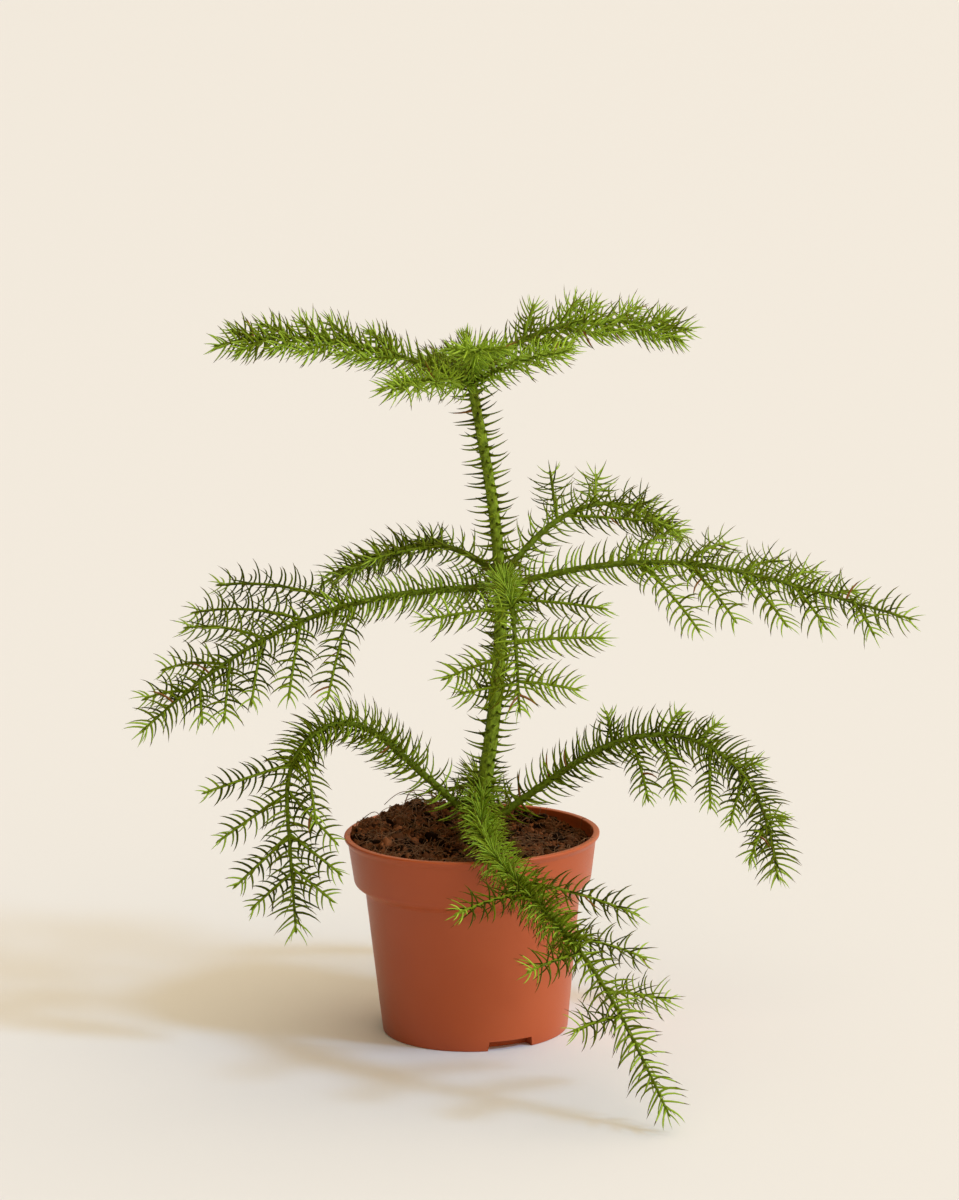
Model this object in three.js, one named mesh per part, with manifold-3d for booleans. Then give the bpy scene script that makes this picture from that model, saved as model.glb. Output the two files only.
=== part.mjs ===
// A young Norfolk Island pine in a plain nursery pot, in millimetres with +Z up.
// The origin is the middle of the pot's underside. +X is to the right and -Y is to the front.
import * as THREE from "three";
import { mergeVertices } from "three/addons/utils/BufferGeometryUtils.js";
import Module from "manifold-3d";

const wasm = await Module();
wasm.setup();

// Clearance between neighbouring solids
const GAP = 0.3;

// Pot: a tapering body, a wider collar and a rolled lip
const POT_HEIGHT = 94;
const RIM_RADIUS = 60;
const LIP_HEIGHT = 3.5;
const LIP_OVERHANG = 1.8;
const LIP_WIDTH = 3.1;
const EDGE_ROUND = 0.8;
const COLLAR_HEIGHT = 22.5;
const COLLAR_FOOT_RADIUS = 55.6;
const LEDGE_HEIGHT = 3.6;
const BODY_TOP_RADIUS = 50.6;
const FOOT_RADIUS = 43.7;
const POT_WALL = 1.3;
const POT_FLOOR = 6.2;
const POT_SEGMENTS = 36;

// Drain notches cut into the pot's foot
const NOTCH_COUNT = 3;
const NOTCH_HEADING = 292.5;
const NOTCH_WIDTH = 22;
const NOTCH_TOP_WIDTH = 17;
const NOTCH_HEIGHT = 4.6;
const NOTCH_DEPTH = 9;

// Compost: banked up to the left and the back, with a level spot under the trunk
const SOIL_LEVEL = 90.5;
const SOIL_BANK = 5;
const SOIL_BANK_HEADING = 150;
const SOIL_LUMP = 1.4;
const SOIL_LUMP_TURN = 0.19;
const SOIL_RINGS = 5;
const SOIL_SEGMENTS = POT_SEGMENTS / 2;
const SEAT_RADIUS = 9;

// Trunk
const SOIL_Z = 92;
const TRUNK_TIP_Z = 322;
const TRUNK_FOOT_X = 3;
const TRUNK_LEAN = -1.5;
const TRUNK_BOW = 13;
const TRUNK_BOW_Y = -2;
const TRUNK_BOW_SHARPNESS = 1.2;
const TRUNK_FOOT_RADIUS = 3.7;
const TRUNK_TIP_RADIUS = 2.1;
const ROOT_FLARE = 1.5;
const FLARE_HEIGHT = 5;
const TRUNK_SIDES = 8;
const TRUNK_BARE_FOOT = 13;
const TRUNK_PITCH = 10;
const TRUNK_NEEDLE_LEAN = 75;

// Leading shoot above the trunk's tip
const LEADER_LENGTH = 6.5;
const LEADER_TIP_LENGTH = 3;
const LEADER_BARE_START = 1.9;
const LEADER_NEEDLE_LENGTH = 8.5;
const LEADER_NEEDLE_LEAN = 36;

// Boughs, twigs and needles
const LINE_STEPS = 32;
const TWIG_STEPS = 8;
const BOUGH_SIDES = 4;
const BOUGH_PITCH = 11;
const BOUGH_BARE_START = 9;
const BOUGH_END_MARGIN = 0.04;
const STEM_TIP_RADIUS = 0.6;
const TWIG_SIDES = 3;
const TWIG_RADIUS = 0.95;
const TWIG_ROOT_RADIUS = 0.35;
const TWIG_ROOT_LENGTH = 1.8;
const TWIG_BARE_START = 4.5;
const TWIG_TIP_LENGTH = 5;
const TWIG_LAST_SHARE = 0.94;
const TWIG_SHORTEST = 7;
const TWIG_TAPER = 0.7;
const TWIG_VARIATION = 0.12;
const PAIR_OFFSET = 0.25;
const PAIR_SCATTER = 0.18;
const NEEDLE_PITCH = 12;
const NEEDLE_STEP = 2.2;
const NEEDLE_LENGTH = 11.5;
const NEEDLE_VARIATION = 0.15;
const NEEDLE_LEAN = 56;
const NEEDLE_TURN = 40;
const NEEDLE_RADIUS = 0.7;
const NEEDLE_FOOT_SHARE = 0.1;
const TWIG_CLEARANCE = 2.2;
const NEEDLE_CLEARANCE = 0.35;
const FLOOR_CLEARANCE = 1.5;

// Seeds kept for each bough's needles
const SEEDS_PER_BOUGH = 100;

// Whorls of boughs, by the height at which they leave the trunk
const WHORLS = {
  top: { height: 308, boughRadius: 1.5 },
  mid: { height: 212, boughRadius: 1.8 },
  low: { height: 114, boughRadius: 2.0 },
};

// Each bough leaves at a heading (0 right, 90 to the back) and turns, up to its tip or the share
// "turnedBy". It rises, then bends to its fall between two shares of its length. Its twigs stand in
// pairs from the share "first" towards the share "last", longest at the first, spread from the bough
// by an angle and sagging under their weight. The plane of the twigs is tilted about the bough and
// may twist along it, and where they are uneven the twigs of one side are longer. Foliage starts at
// the first twigs, or sooner where the bough is "leafy", and a hanging bough's foliage is split in
// two at a share.
const BOUGHS = [
  { name: "top_left", whorl: "top", lift: 0, heading: 174, turn: 3, rise: 18, fall: -13, bendFrom: 0.2,
    bendTo: 1.15, length: 121, tilt: 24, twist: 0, pairs: 5, first: 0.26, twig: 16, spread: 40, sag: 0,
    taper: 0.3 },
  { name: "top_front_left", whorl: "top", lift: -3, heading: 236, turn: -8, rise: 16, fall: -12, bendFrom: 0,
    bendTo: 1.1, length: 60, tilt: 0, twist: 0, pairs: 3, first: 0.34, twig: 16, spread: 44, sag: 0.1 },
  { name: "top_front", whorl: "top", lift: 3, heading: 278, turn: 0, rise: 34, fall: 10, bendFrom: 0,
    bendTo: 1, length: 40, tilt: 0, twist: 0, pairs: 3, first: 0.4, twig: 14, spread: 48, sag: 0 },
  { name: "top_front_right", whorl: "top", lift: -2, heading: 325, turn: 8, rise: 27, fall: 10, bendFrom: 0,
    bendTo: 1, length: 54, tilt: 0, twist: 0, pairs: 3, first: 0.35, twig: 16, spread: 46, sag: 0 },
  { name: "top_right", whorl: "top", lift: 2, heading: 22, turn: -7, rise: 32, fall: -10, bendFrom: 0,
    bendTo: 0.85, length: 114, tilt: -36, twist: 12, pairs: 5, first: 0.26, twig: 15, spread: 42, sag: 0,
    taper: 0.3 },
  { name: "top_back", whorl: "top", lift: -1, heading: 98, turn: 0, rise: 12, fall: -20, bendFrom: 0,
    bendTo: 1, length: 92, tilt: 0, twist: 0, pairs: 4, first: 0.3, twig: 19, spread: 42, sag: 0.1 },
  { name: "mid_left", whorl: "mid", lift: -1, heading: 188, turn: 12, rise: 0, fall: -38, bendFrom: 0.02,
    bendTo: 1, length: 185, tilt: 32, twist: 6, pairs: 5, first: 0.38, twig: 56, spread: 56, sag: 0.4,
    uneven: 0.14, taper: 1 },
  { name: "mid_back_left", whorl: "mid", lift: 4, heading: 144, turn: 17, rise: 30, fall: -21, bendFrom: 0,
    bendTo: 0.7, length: 98, tilt: 0, twist: 0, pairs: 4, first: 0.36, twig: 34, spread: 50, sag: 0.3 },
  { name: "mid_back_right", whorl: "mid", lift: 3, heading: 47, turn: -20, rise: 34, fall: -47, bendFrom: 0.1,
    bendTo: 1.15, length: 123, tilt: -20, twist: 0, pairs: 3, first: 0.36, twig: 38, spread: 50, sag: 0.1 },
  { name: "mid_right", whorl: "mid", lift: -1, heading: 1, turn: 6, rise: 13.5, fall: -18, bendFrom: 0,
    bendTo: 0.75, length: 198, tilt: -26, twist: 0, pairs: 5, first: 0.3, twig: 42, spread: 54, sag: 0.4 },
  { name: "mid_front", whorl: "mid", lift: 0, heading: 276, turn: -2, rise: 10, fall: -67, bendFrom: 0.06,
    bendTo: 0.94, length: 103, tilt: 0, twist: 0, pairs: 3, first: 0.46, last: 1.06, twig: 38, spread: 86,
    sag: 0.15, taper: 0.4, leafy: 0.4 },
  { name: "low_left", whorl: "low", lift: -16, heading: 205, turn: 11, rise: 43.5, fall: -93, bendFrom: 0.29,
    bendTo: 0.74, length: 203, tilt: 57, twist: 0, pairs: 4, first: 0.57, twig: 33, spread: 52, sag: 0.05,
    uneven: 0.08, taper: 0.5, leafy: 0.36, split: 0.56 },
  { name: "low_right", whorl: "low", lift: -19, heading: 5, turn: -11, rise: 34, fall: -82, bendFrom: 0.22,
    bendTo: 0.98, length: 196, tilt: -70, twist: 30, pairs: 5, first: 0.38, twig: 17, spread: 72, sag: 0.7,
    uneven: 0.42, taper: 0.35, leafy: 0.36, split: 0.62 },
  { name: "low_front", whorl: "low", lift: -2, heading: 262, turn: 47.5, turnedBy: 0.55, rise: -12, fall: -52,
    bendFrom: 0.26, bendTo: 0.93, length: 228, tilt: 10, twist: 0, pairs: 3, first: 0.39, twig: 44,
    spread: 82, sag: 0.2, uneven: -0.14, taper: 0.4, split: 0.6 },
  { name: "low_back", whorl: "low", lift: 0, heading: 92, turn: 0, rise: -6, fall: -76, bendFrom: 0.3,
    bendTo: 0.9, length: 150, tilt: 0, twist: 0, pairs: 4, first: 0.5, twig: 36, spread: 50, sag: 0.3 },
];

const COLOURS = {
  pot: { color: 0xb9603a, roughness: 0.45, metalness: 0 },
  soil: { color: 0x3a2618, roughness: 1, metalness: 0 },
  bark: { color: 0x6d8a35, roughness: 0.7, metalness: 0 },
  foliage: { color: 0x4f8a2c, roughness: 0.6, metalness: 0 },
};

const DEGREE = Math.PI / 180;

// Weights that scatter the values of chance
const CHANCE_WEIGHTS = [12.9898, 78.233, 37.719, 94.673];
const CHANCE_STRETCH = 43758.5453;

// A fixed value from 0 to 1 for up to four whole numbers, so the plant always grows the same
function chance(...keys) {
  const sum = keys.reduce((total, key, i) => total + key * CHANCE_WEIGHTS[i], 0);
  const value = Math.sin(sum) * CHANCE_STRETCH;
  return value - Math.floor(value);
}

function jitter(...keys) {
  return 2 * chance(...keys) - 1;
}

function ease(share) {
  const t = THREE.MathUtils.clamp(share, 0, 1);
  return t * t * (3 - 2 * t);
}

// Lines: evenly stepped points that a limb follows

function pointAt(line, share) {
  const place = THREE.MathUtils.clamp(share, 0, 1) * (line.length - 1);
  const step = Math.min(Math.floor(place), line.length - 2);
  return line[step].clone().lerp(line[step + 1], place - step);
}

function tangentAt(line, share) {
  const reach = 0.5 / (line.length - 1);
  return pointAt(line, share + reach).sub(pointAt(line, share - reach)).normalize();
}

function lineLength(line) {
  return line.slice(1).reduce((total, point, i) => total + point.distanceTo(line[i]), 0);
}

function trunkCentre(z) {
  const share = THREE.MathUtils.clamp((z - SOIL_Z) / (TRUNK_TIP_Z - SOIL_Z), 0, 1);
  const bow = Math.sin(Math.PI * share);
  const x = TRUNK_FOOT_X + TRUNK_LEAN * share + TRUNK_BOW * Math.pow(Math.max(bow, 0), TRUNK_BOW_SHARPNESS);
  return new THREE.Vector3(x, TRUNK_BOW_Y * bow, z);
}

function trunkLine() {
  const foot = SOIL_Z + GAP;
  const steps = Array.from({ length: LINE_STEPS + 1 }, (_, i) => i / LINE_STEPS);
  return steps.map((share) => trunkCentre(foot + (TRUNK_TIP_Z - foot) * share));
}

function trunkRadius(share) {
  const height = share * (TRUNK_TIP_Z - SOIL_Z);
  const taper = TRUNK_FOOT_RADIUS + (TRUNK_TIP_RADIUS - TRUNK_FOOT_RADIUS) * share;
  return taper + ROOT_FLARE * Math.exp(-height / FLARE_HEIGHT);
}

function headingAt(bough, share) {
  return (bough.heading + bough.turn * Math.min(share / (bough.turnedBy ?? 1), 1)) * DEGREE;
}

function boughDirection(bough, share) {
  const heading = headingAt(bough, share);
  const bend = ease((share - bough.bendFrom) / (bough.bendTo - bough.bendFrom));
  const slope = (bough.rise + (bough.fall - bough.rise) * bend) * DEGREE;
  const level = Math.cos(slope);
  return new THREE.Vector3(Math.cos(heading) * level, Math.sin(heading) * level, Math.sin(slope));
}

function boughLine(bough) {
  const line = [trunkCentre(WHORLS[bough.whorl].height + bough.lift)];
  for (let i = 0; i < LINE_STEPS; i++) {
    const step = boughDirection(bough, (i + 0.5) / LINE_STEPS).multiplyScalar(bough.length / LINE_STEPS);
    line.push(line[i].clone().add(step));
  }
  return line;
}

function boughRadius(bough, share) {
  return THREE.MathUtils.lerp(WHORLS[bough.whorl].boughRadius, STEM_TIP_RADIUS, share);
}

// The twigs' sideways direction at a share of the bough
function twigSide(bough, line, share) {
  const heading = headingAt(bough, share);
  const level = new THREE.Vector3(Math.sin(heading), -Math.cos(heading), 0);
  const above = level.clone().cross(tangentAt(line, share));
  const tilt = (bough.tilt + bough.twist * share) * DEGREE;
  return level.multiplyScalar(Math.cos(tilt)).addScaledVector(above, Math.sin(tilt));
}

function twigLine(bough, line, boughIndex, pair, side) {
  const scatter = (side > 0 ? PAIR_OFFSET : 0) + PAIR_SCATTER * jitter(boughIndex, pair, side, 0);
  const last = bough.last ?? TWIG_LAST_SHARE;
  const share = bough.first + (last - bough.first) * (pair + scatter) / bough.pairs;
  const shorter = Math.pow((1 - share) / (1 - bough.first), bough.taper ?? TWIG_TAPER);
  const vary = 1 + TWIG_VARIATION * jitter(boughIndex, pair, side, 1);
  const lopsided = 1 + (bough.uneven ?? 0) * side;
  const length = bough.twig * shorter * vary * lopsided + TWIG_SHORTEST;
  const spread = bough.spread * DEGREE * (1 + TWIG_VARIATION * jitter(boughIndex, pair, side, 2));
  const direction = tangentAt(line, share).multiplyScalar(Math.cos(spread));
  direction.addScaledVector(twigSide(bough, line, share), side * Math.sin(spread));
  const points = [pointAt(line, share)];
  for (let i = 0; i < TWIG_STEPS; i++) {
    direction.z -= bough.sag * lopsided / TWIG_STEPS;
    direction.normalize();
    points.push(points[i].clone().addScaledVector(direction, length / TWIG_STEPS));
  }
  return { share, points };
}

// Room: what has grown so far, kept as thin segments, so later growth stays clear of it

const limbs = [];
const needles = [];

// Two segments that spread less than this count as parallel
const PARALLEL = 1e-9;

// The distance between the nearest points of the segments from a to b and from c to d
function segmentDistance(a, b, c, d) {
  const ab = b.clone().sub(a);
  const cd = d.clone().sub(c);
  const ca = a.clone().sub(c);
  const aa = ab.dot(ab);
  const cc = cd.dot(cd);
  const mixed = ab.dot(cd);
  const fromA = ab.dot(ca);
  const fromC = cd.dot(ca);
  const spread = aa * cc - mixed * mixed;
  const first = spread > PARALLEL ? THREE.MathUtils.clamp((mixed * fromC - fromA * cc) / spread, 0, 1) : 0;
  const second = THREE.MathUtils.clamp((mixed * first + fromC) / cc, 0, 1);
  const nearer = THREE.MathUtils.clamp((mixed * second - fromA) / aa, 0, 1);
  return ab.multiplyScalar(nearer).add(a).distanceTo(cd.multiplyScalar(second).add(c));
}

function registerLine(owner, limb, points, radiusAt) {
  for (let i = 1; i < points.length; i++) {
    const radius = radiusAt((i - 1) / (points.length - 1));
    limbs.push({ owner, limb, from: points[i - 1], to: points[i], radius, root: i === 1 });
  }
}

function potRadius(z) {
  const ledge = POT_HEIGHT - COLLAR_HEIGHT - LEDGE_HEIGHT;
  return z > ledge ? RIM_RADIUS : THREE.MathUtils.lerp(FOOT_RADIUS, BODY_TOP_RADIUS, Math.max(z, 0) / ledge);
}

function clearOfPot(point, margin) {
  if (point.z < FLOOR_CLEARANCE + margin) {
    return false;
  }
  return point.z > POT_HEIGHT + margin || Math.hypot(point.x, point.y) > potRadius(point.z) + margin;
}

function twigFits(owner, points) {
  const free = points.slice(1);
  if (!free.every((point) => clearOfPot(point, TWIG_CLEARANCE))) {
    return false;
  }
  return free.slice(1).every((point, i) => limbs.every((other) => {
    const room = other.radius + TWIG_RADIUS + TWIG_CLEARANCE;
    const own = other.owner === owner && (other.limb === "stem" || other.root);
    return own || segmentDistance(free[i], point, other.from, other.to) > room;
  }));
}

function needleFits(owner, limb, from, to, footRadius) {
  const middle = from.clone().lerp(to, 0.5);
  if (!clearOfPot(to, NEEDLE_CLEARANCE) || !clearOfPot(middle, NEEDLE_RADIUS + NEEDLE_CLEARANCE)) {
    return false;
  }
  const clearOfLimbs = limbs.every((other) => {
    const own = other.owner === owner && other.limb === limb;
    const room = other.radius + NEEDLE_CLEARANCE + (other.owner === owner ? NEEDLE_RADIUS : footRadius);
    return own || segmentDistance(from, to, other.from, other.to) > room;
  });
  return clearOfLimbs && needles.every((other) => {
    const room = other.owner === owner ? NEEDLE_RADIUS : 2 * NEEDLE_RADIUS + NEEDLE_CLEARANCE;
    return segmentDistance(from, to, other.from, other.to) > room;
  });
}

// Skins: closed tubes along a line, with needles drawn out of the faces of their short steps

class Skin {
  constructor() {
    this.positions = [];
    this.index = [];
  }

  vertex(point) {
    this.positions.push(point.x, point.y, point.z);
    return this.positions.length / 3 - 1;
  }

  fan(corners, apex) {
    corners.forEach((corner, i) => this.index.push(corner, corners[(i + 1) % corners.length], apex));
  }

  face(corners) {
    for (let i = 2; i < corners.length; i++) {
      this.index.push(corners[0], corners[i - 1], corners[i]);
    }
  }

  geometry() {
    const geometry = new THREE.BufferGeometry();
    geometry.setAttribute("position", new THREE.Float32BufferAttribute(this.positions, 3));
    geometry.setIndex(this.index);
    return geometry;
  }
}

// A line that climbs more steeply than this has its sections set out from +X, any other from +Z
const STEEP = 0.8;

// The rings of a tube, with the section carried along the line without turning on itself
function ringsAlong(line, shares, growth, rollAt) {
  const facing = (share) => (growth.level ? new THREE.Vector3(0, 0, 1) : tangentAt(line, share));
  const start = facing(shares[0]);
  const across = Math.abs(start.z) > STEEP ? new THREE.Vector3(1, 0, 0) : new THREE.Vector3(0, 0, 1);
  return shares.map((share, i) => {
    const tangent = facing(share);
    across.addScaledVector(tangent, -across.dot(tangent)).normalize();
    const upright = tangent.clone().cross(across);
    const roll = rollAt(i);
    const axisX = across.clone().multiplyScalar(Math.cos(roll)).addScaledVector(upright, Math.sin(roll));
    return { point: pointAt(line, share), tangent, axisX, axisY: tangent.clone().cross(axisX),
      radius: growth.radiusAt(share) };
  });
}

function ringCorners(ring, sides) {
  return Array.from({ length: sides }, (_, i) => {
    const angle = 2 * Math.PI * i / sides;
    const corner = ring.point.clone().addScaledVector(ring.axisX, ring.radius * Math.cos(angle));
    return corner.addScaledVector(ring.axisY, ring.radius * Math.sin(angle));
  });
}

// Grow a needle from the middle of a face, or return null where it has no room
function needleTip(corners, ring, growth, key) {
  const foot = corners.reduce((sum, corner) => sum.add(corner), new THREE.Vector3()).divideScalar(4);
  const outward = foot.clone().sub(ring.point);
  outward.addScaledVector(ring.tangent, -outward.dot(ring.tangent)).normalize();
  const lean = growth.lean * DEGREE;
  const length = growth.needle * (1 + NEEDLE_VARIATION * jitter(...key));
  const tip = foot.clone().addScaledVector(ring.tangent, length * Math.cos(lean));
  tip.addScaledVector(outward, length * Math.sin(lean));
  const clearFoot = foot.clone().lerp(tip, NEEDLE_FOOT_SHARE);
  if (!needleFits(growth.owner, growth.limb, clearFoot, tip, foot.distanceTo(corners[0]))) {
    return null;
  }
  needles.push({ owner: growth.owner, from: clearFoot, to: tip });
  return tip;
}

// Growth holds a tube's owner and limb, its sides, radius and shares of the line, and the length of
// its end point. Its needles have a pitch, a length, a lean from the line and a seed, start after a
// bare stretch, and stand on every first, second or later face.
function needledTube(line, growth) {
  const length = lineLength(line);
  const shares = [growth.from];
  if (growth.root) {
    shares.push(growth.from + TWIG_ROOT_LENGTH / length);
  }
  const firstNeedle = shares.length;
  const last = growth.to - 2 * NEEDLE_STEP / length;
  for (let s = growth.from + growth.bareStart / length; s < last; s += growth.pitch / length) {
    shares.push(s, s + NEEDLE_STEP / length);
  }
  shares.push(growth.to);
  const station = (i) => Math.floor((i - firstNeedle) / 2);
  const rings = ringsAlong(line, shares, growth, (i) => NEEDLE_TURN * DEGREE * station(i));
  const skin = new Skin();
  const points = rings.map((ring) => ringCorners(ring, growth.sides));
  const ids = points.map((ring) => ring.map((corner) => skin.vertex(corner)));
  skin.face(ids[0].toReversed());
  for (let i = 1; i < ids.length; i++) {
    const carries = i > firstNeedle && (i - firstNeedle) % 2 === 1 && i < ids.length - 1;
    for (let j = 0; j < growth.sides; j++) {
      const k = (j + 1) % growth.sides;
      const corners = [ids[i - 1][j], ids[i - 1][k], ids[i][k], ids[i][j]];
      const places = [points[i - 1][j], points[i - 1][k], points[i][k], points[i][j]];
      const chosen = carries && !growth.bare && (j + station(i)) % growth.every === 0;
      const tip = chosen ? needleTip(places, rings[i], growth, [growth.seed, i, j]) : null;
      if (tip) {
        skin.fan(corners, skin.vertex(tip));
      } else {
        skin.face(corners);
      }
    }
  }
  const end = rings.at(-1);
  if (growth.point) {
    skin.fan(ids.at(-1), skin.vertex(end.point.clone().addScaledVector(end.tangent, growth.point)));
  } else {
    skin.face(ids.at(-1));
  }
  return skin.geometry();
}

// Joining and cutting closed shapes

function solidOf(geometry) {
  const bare = geometry.clone();
  bare.deleteAttribute("normal");
  bare.deleteAttribute("uv");
  const merged = mergeVertices(bare);
  return new wasm.Manifold(new wasm.Mesh({
    numProp: 3,
    vertProperties: new Float32Array(merged.attributes.position.array),
    triVerts: new Uint32Array(merged.index.array),
  }));
}

function geometryOf(solid) {
  const mesh = solid.getMesh();
  const geometry = new THREE.BufferGeometry();
  geometry.setAttribute("position", new THREE.Float32BufferAttribute(mesh.vertProperties, mesh.numProp));
  geometry.setIndex(Array.from(mesh.triVerts));
  return geometry;
}

function joined(geometries) {
  const solids = geometries.map(solidOf);
  return geometryOf(solids.reduce((whole, solid) => whole.add(solid)));
}

function subPart(name, geometry, finish) {
  geometry.computeVertexNormals();
  const mesh = new THREE.Mesh(geometry, new THREE.MeshStandardMaterial({ ...finish, flatShading: true }));
  mesh.name = name;
  return mesh;
}

// Pot and compost

const COLLAR_FOOT_Z = POT_HEIGHT - COLLAR_HEIGHT;
const LEDGE_Z = COLLAR_FOOT_Z - LEDGE_HEIGHT;
const LIP_Z = POT_HEIGHT - LIP_HEIGHT;
const COLLAR_TOP_RADIUS = RIM_RADIUS - LIP_OVERHANG;

// The pot's inner wall from its floor up to the lip, as radius and height
function innerWall() {
  return [
    [FOOT_RADIUS - POT_WALL, POT_FLOOR],
    [BODY_TOP_RADIUS - POT_WALL, LEDGE_Z],
    [COLLAR_FOOT_RADIUS - POT_WALL, COLLAR_FOOT_Z],
    [RIM_RADIUS - LIP_WIDTH, LIP_Z],
  ];
}

function innerRadius(z) {
  const wall = innerWall();
  const above = wall.findIndex(([, height]) => height > z);
  if (above < 1) {
    return wall.at(above)[0];
  }
  const [[lowRadius, lowZ], [highRadius, highZ]] = [wall[above - 1], wall[above]];
  return THREE.MathUtils.mapLinear(z, lowZ, highZ, lowRadius, highRadius);
}

// A profile turned about the Z axis
function turned(profile, segments) {
  const points = profile.map(([radius, height]) => new THREE.Vector2(radius, height));
  return new THREE.LatheGeometry(points, segments).rotateX(Math.PI / 2);
}

function potGeometry() {
  const body = turned([
    [0, 0],
    [FOOT_RADIUS - EDGE_ROUND, 0],
    [FOOT_RADIUS, EDGE_ROUND],
    [BODY_TOP_RADIUS, LEDGE_Z],
    [BODY_TOP_RADIUS + EDGE_ROUND, LEDGE_Z + EDGE_ROUND],
    [COLLAR_FOOT_RADIUS - EDGE_ROUND, COLLAR_FOOT_Z - EDGE_ROUND],
    [COLLAR_FOOT_RADIUS, COLLAR_FOOT_Z],
    [COLLAR_TOP_RADIUS, LIP_Z],
    [RIM_RADIUS - EDGE_ROUND / 2, LIP_Z],
    [RIM_RADIUS, LIP_Z + EDGE_ROUND],
    [RIM_RADIUS, POT_HEIGHT - EDGE_ROUND],
    [RIM_RADIUS - EDGE_ROUND, POT_HEIGHT],
    [RIM_RADIUS - LIP_WIDTH, POT_HEIGHT],
    ...innerWall().toReversed(),
    [0, POT_FLOOR],
  ], POT_SEGMENTS);
  let pot = solidOf(body);
  for (let i = 0; i < NOTCH_COUNT; i++) {
    pot = pot.subtract(solidOf(notchGeometry(NOTCH_HEADING + i * 360 / NOTCH_COUNT)));
  }
  return geometryOf(pot);
}

// A notch is a trapezium run in from outside the foot, and from just below it
function notchGeometry(heading) {
  const below = -1;
  const outline = new THREE.Shape([
    new THREE.Vector2(-NOTCH_WIDTH / 2, below),
    new THREE.Vector2(NOTCH_WIDTH / 2, below),
    new THREE.Vector2(NOTCH_TOP_WIDTH / 2, NOTCH_HEIGHT),
    new THREE.Vector2(-NOTCH_TOP_WIDTH / 2, NOTCH_HEIGHT),
  ]);
  const cut = new THREE.ExtrudeGeometry(outline, { depth: 2 * NOTCH_DEPTH, bevelEnabled: false });
  cut.rotateX(Math.PI / 2);
  cut.translate(0, FOOT_RADIUS + NOTCH_DEPTH, 0);
  return cut.rotateZ((heading - 90) * DEGREE);
}

function soilHeight(x, y) {
  const bank = SOIL_BANK_HEADING * DEGREE;
  const towards = (x * Math.cos(bank) + y * Math.sin(bank)) / RIM_RADIUS;
  const lumps = SOIL_LUMP * Math.sin(x * SOIL_LUMP_TURN) * Math.cos(y * SOIL_LUMP_TURN);
  const open = SOIL_LEVEL + SOIL_BANK * towards + lumps;
  const seat = Math.hypot(x - TRUNK_FOOT_X, y) / SEAT_RADIUS;
  return THREE.MathUtils.lerp(SOIL_Z, open, ease(seat - 1));
}

function soilGeometry() {
  const wall = innerWall().map(([radius, height]) => [radius - GAP, height]);
  wall[0][1] += GAP;
  const edge = wall.at(-1)[0];
  const rings = Array.from({ length: SOIL_RINGS }, (_, i) => [edge * (1 - i / SOIL_RINGS), POT_HEIGHT]);
  const profile = [[0, wall[0][1]], ...wall.slice(0, -1), ...rings, [0, POT_HEIGHT]];
  const geometry = turned(profile, SOIL_SEGMENTS);
  const place = geometry.attributes.position;
  for (let i = 0; i < place.count; i++) {
    if (place.getZ(i) > LIP_Z) {
      const z = soilHeight(place.getX(i), place.getY(i));
      const fit = (innerRadius(z) - GAP) / edge;
      place.setXYZ(i, place.getX(i) * fit, place.getY(i) * fit, z);
    }
  }
  return geometry;
}

// Trunk, boughs and foliage

function trunkGeometry(line) {
  return needledTube(line, { owner: "trunk", limb: "trunk", level: true, sides: TRUNK_SIDES, every: 2,
    radiusAt: trunkRadius, from: 0, to: 1, pitch: TRUNK_PITCH, bareStart: TRUNK_BARE_FOOT,
    needle: NEEDLE_LENGTH, lean: TRUNK_NEEDLE_LEAN, seed: 1, point: 0 });
}

// The trunk's shape grown by the gap, which the boughs' ends are cut by
function trunkSleeve(line) {
  return solidOf(needledTube(line, { owner: "trunk", limb: "trunk", level: true, bare: true,
    sides: TRUNK_SIDES, radiusAt: (share) => trunkRadius(share) + GAP, from: 0, to: 1, pitch: TRUNK_PITCH,
    bareStart: TRUNK_BARE_FOOT, point: TRUNK_TIP_RADIUS }));
}

function leaderGeometry(line) {
  const foot = line.at(-1).clone().addScaledVector(tangentAt(line, 1), GAP);
  const tip = foot.clone().addScaledVector(tangentAt(line, 1), LEADER_LENGTH);
  return needledTube([foot, tip], { owner: "leader_tuft", limb: "stem", level: true, sides: BOUGH_SIDES,
    every: 1, radiusAt: (share) => TRUNK_TIP_RADIUS * (1 - share / 2), from: 0, to: 1, pitch: LEADER_LENGTH,
    bareStart: LEADER_BARE_START, needle: LEADER_NEEDLE_LENGTH, lean: LEADER_NEEDLE_LEAN, seed: 2,
    point: LEADER_TIP_LENGTH });
}

function boughGeometry(plan, sleeve) {
  const tube = needledTube(plan.line, { owner: plan.boughName, limb: "bough", sides: BOUGH_SIDES, every: 2,
    radiusAt: (share) => boughRadius(plan.bough, share), from: 0, to: plan.boughEnd, pitch: BOUGH_PITCH,
    bareStart: BOUGH_BARE_START, needle: NEEDLE_LENGTH, lean: NEEDLE_LEAN, seed: plan.seed, point: 0 });
  return geometryOf(solidOf(tube).subtract(sleeve));
}

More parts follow.
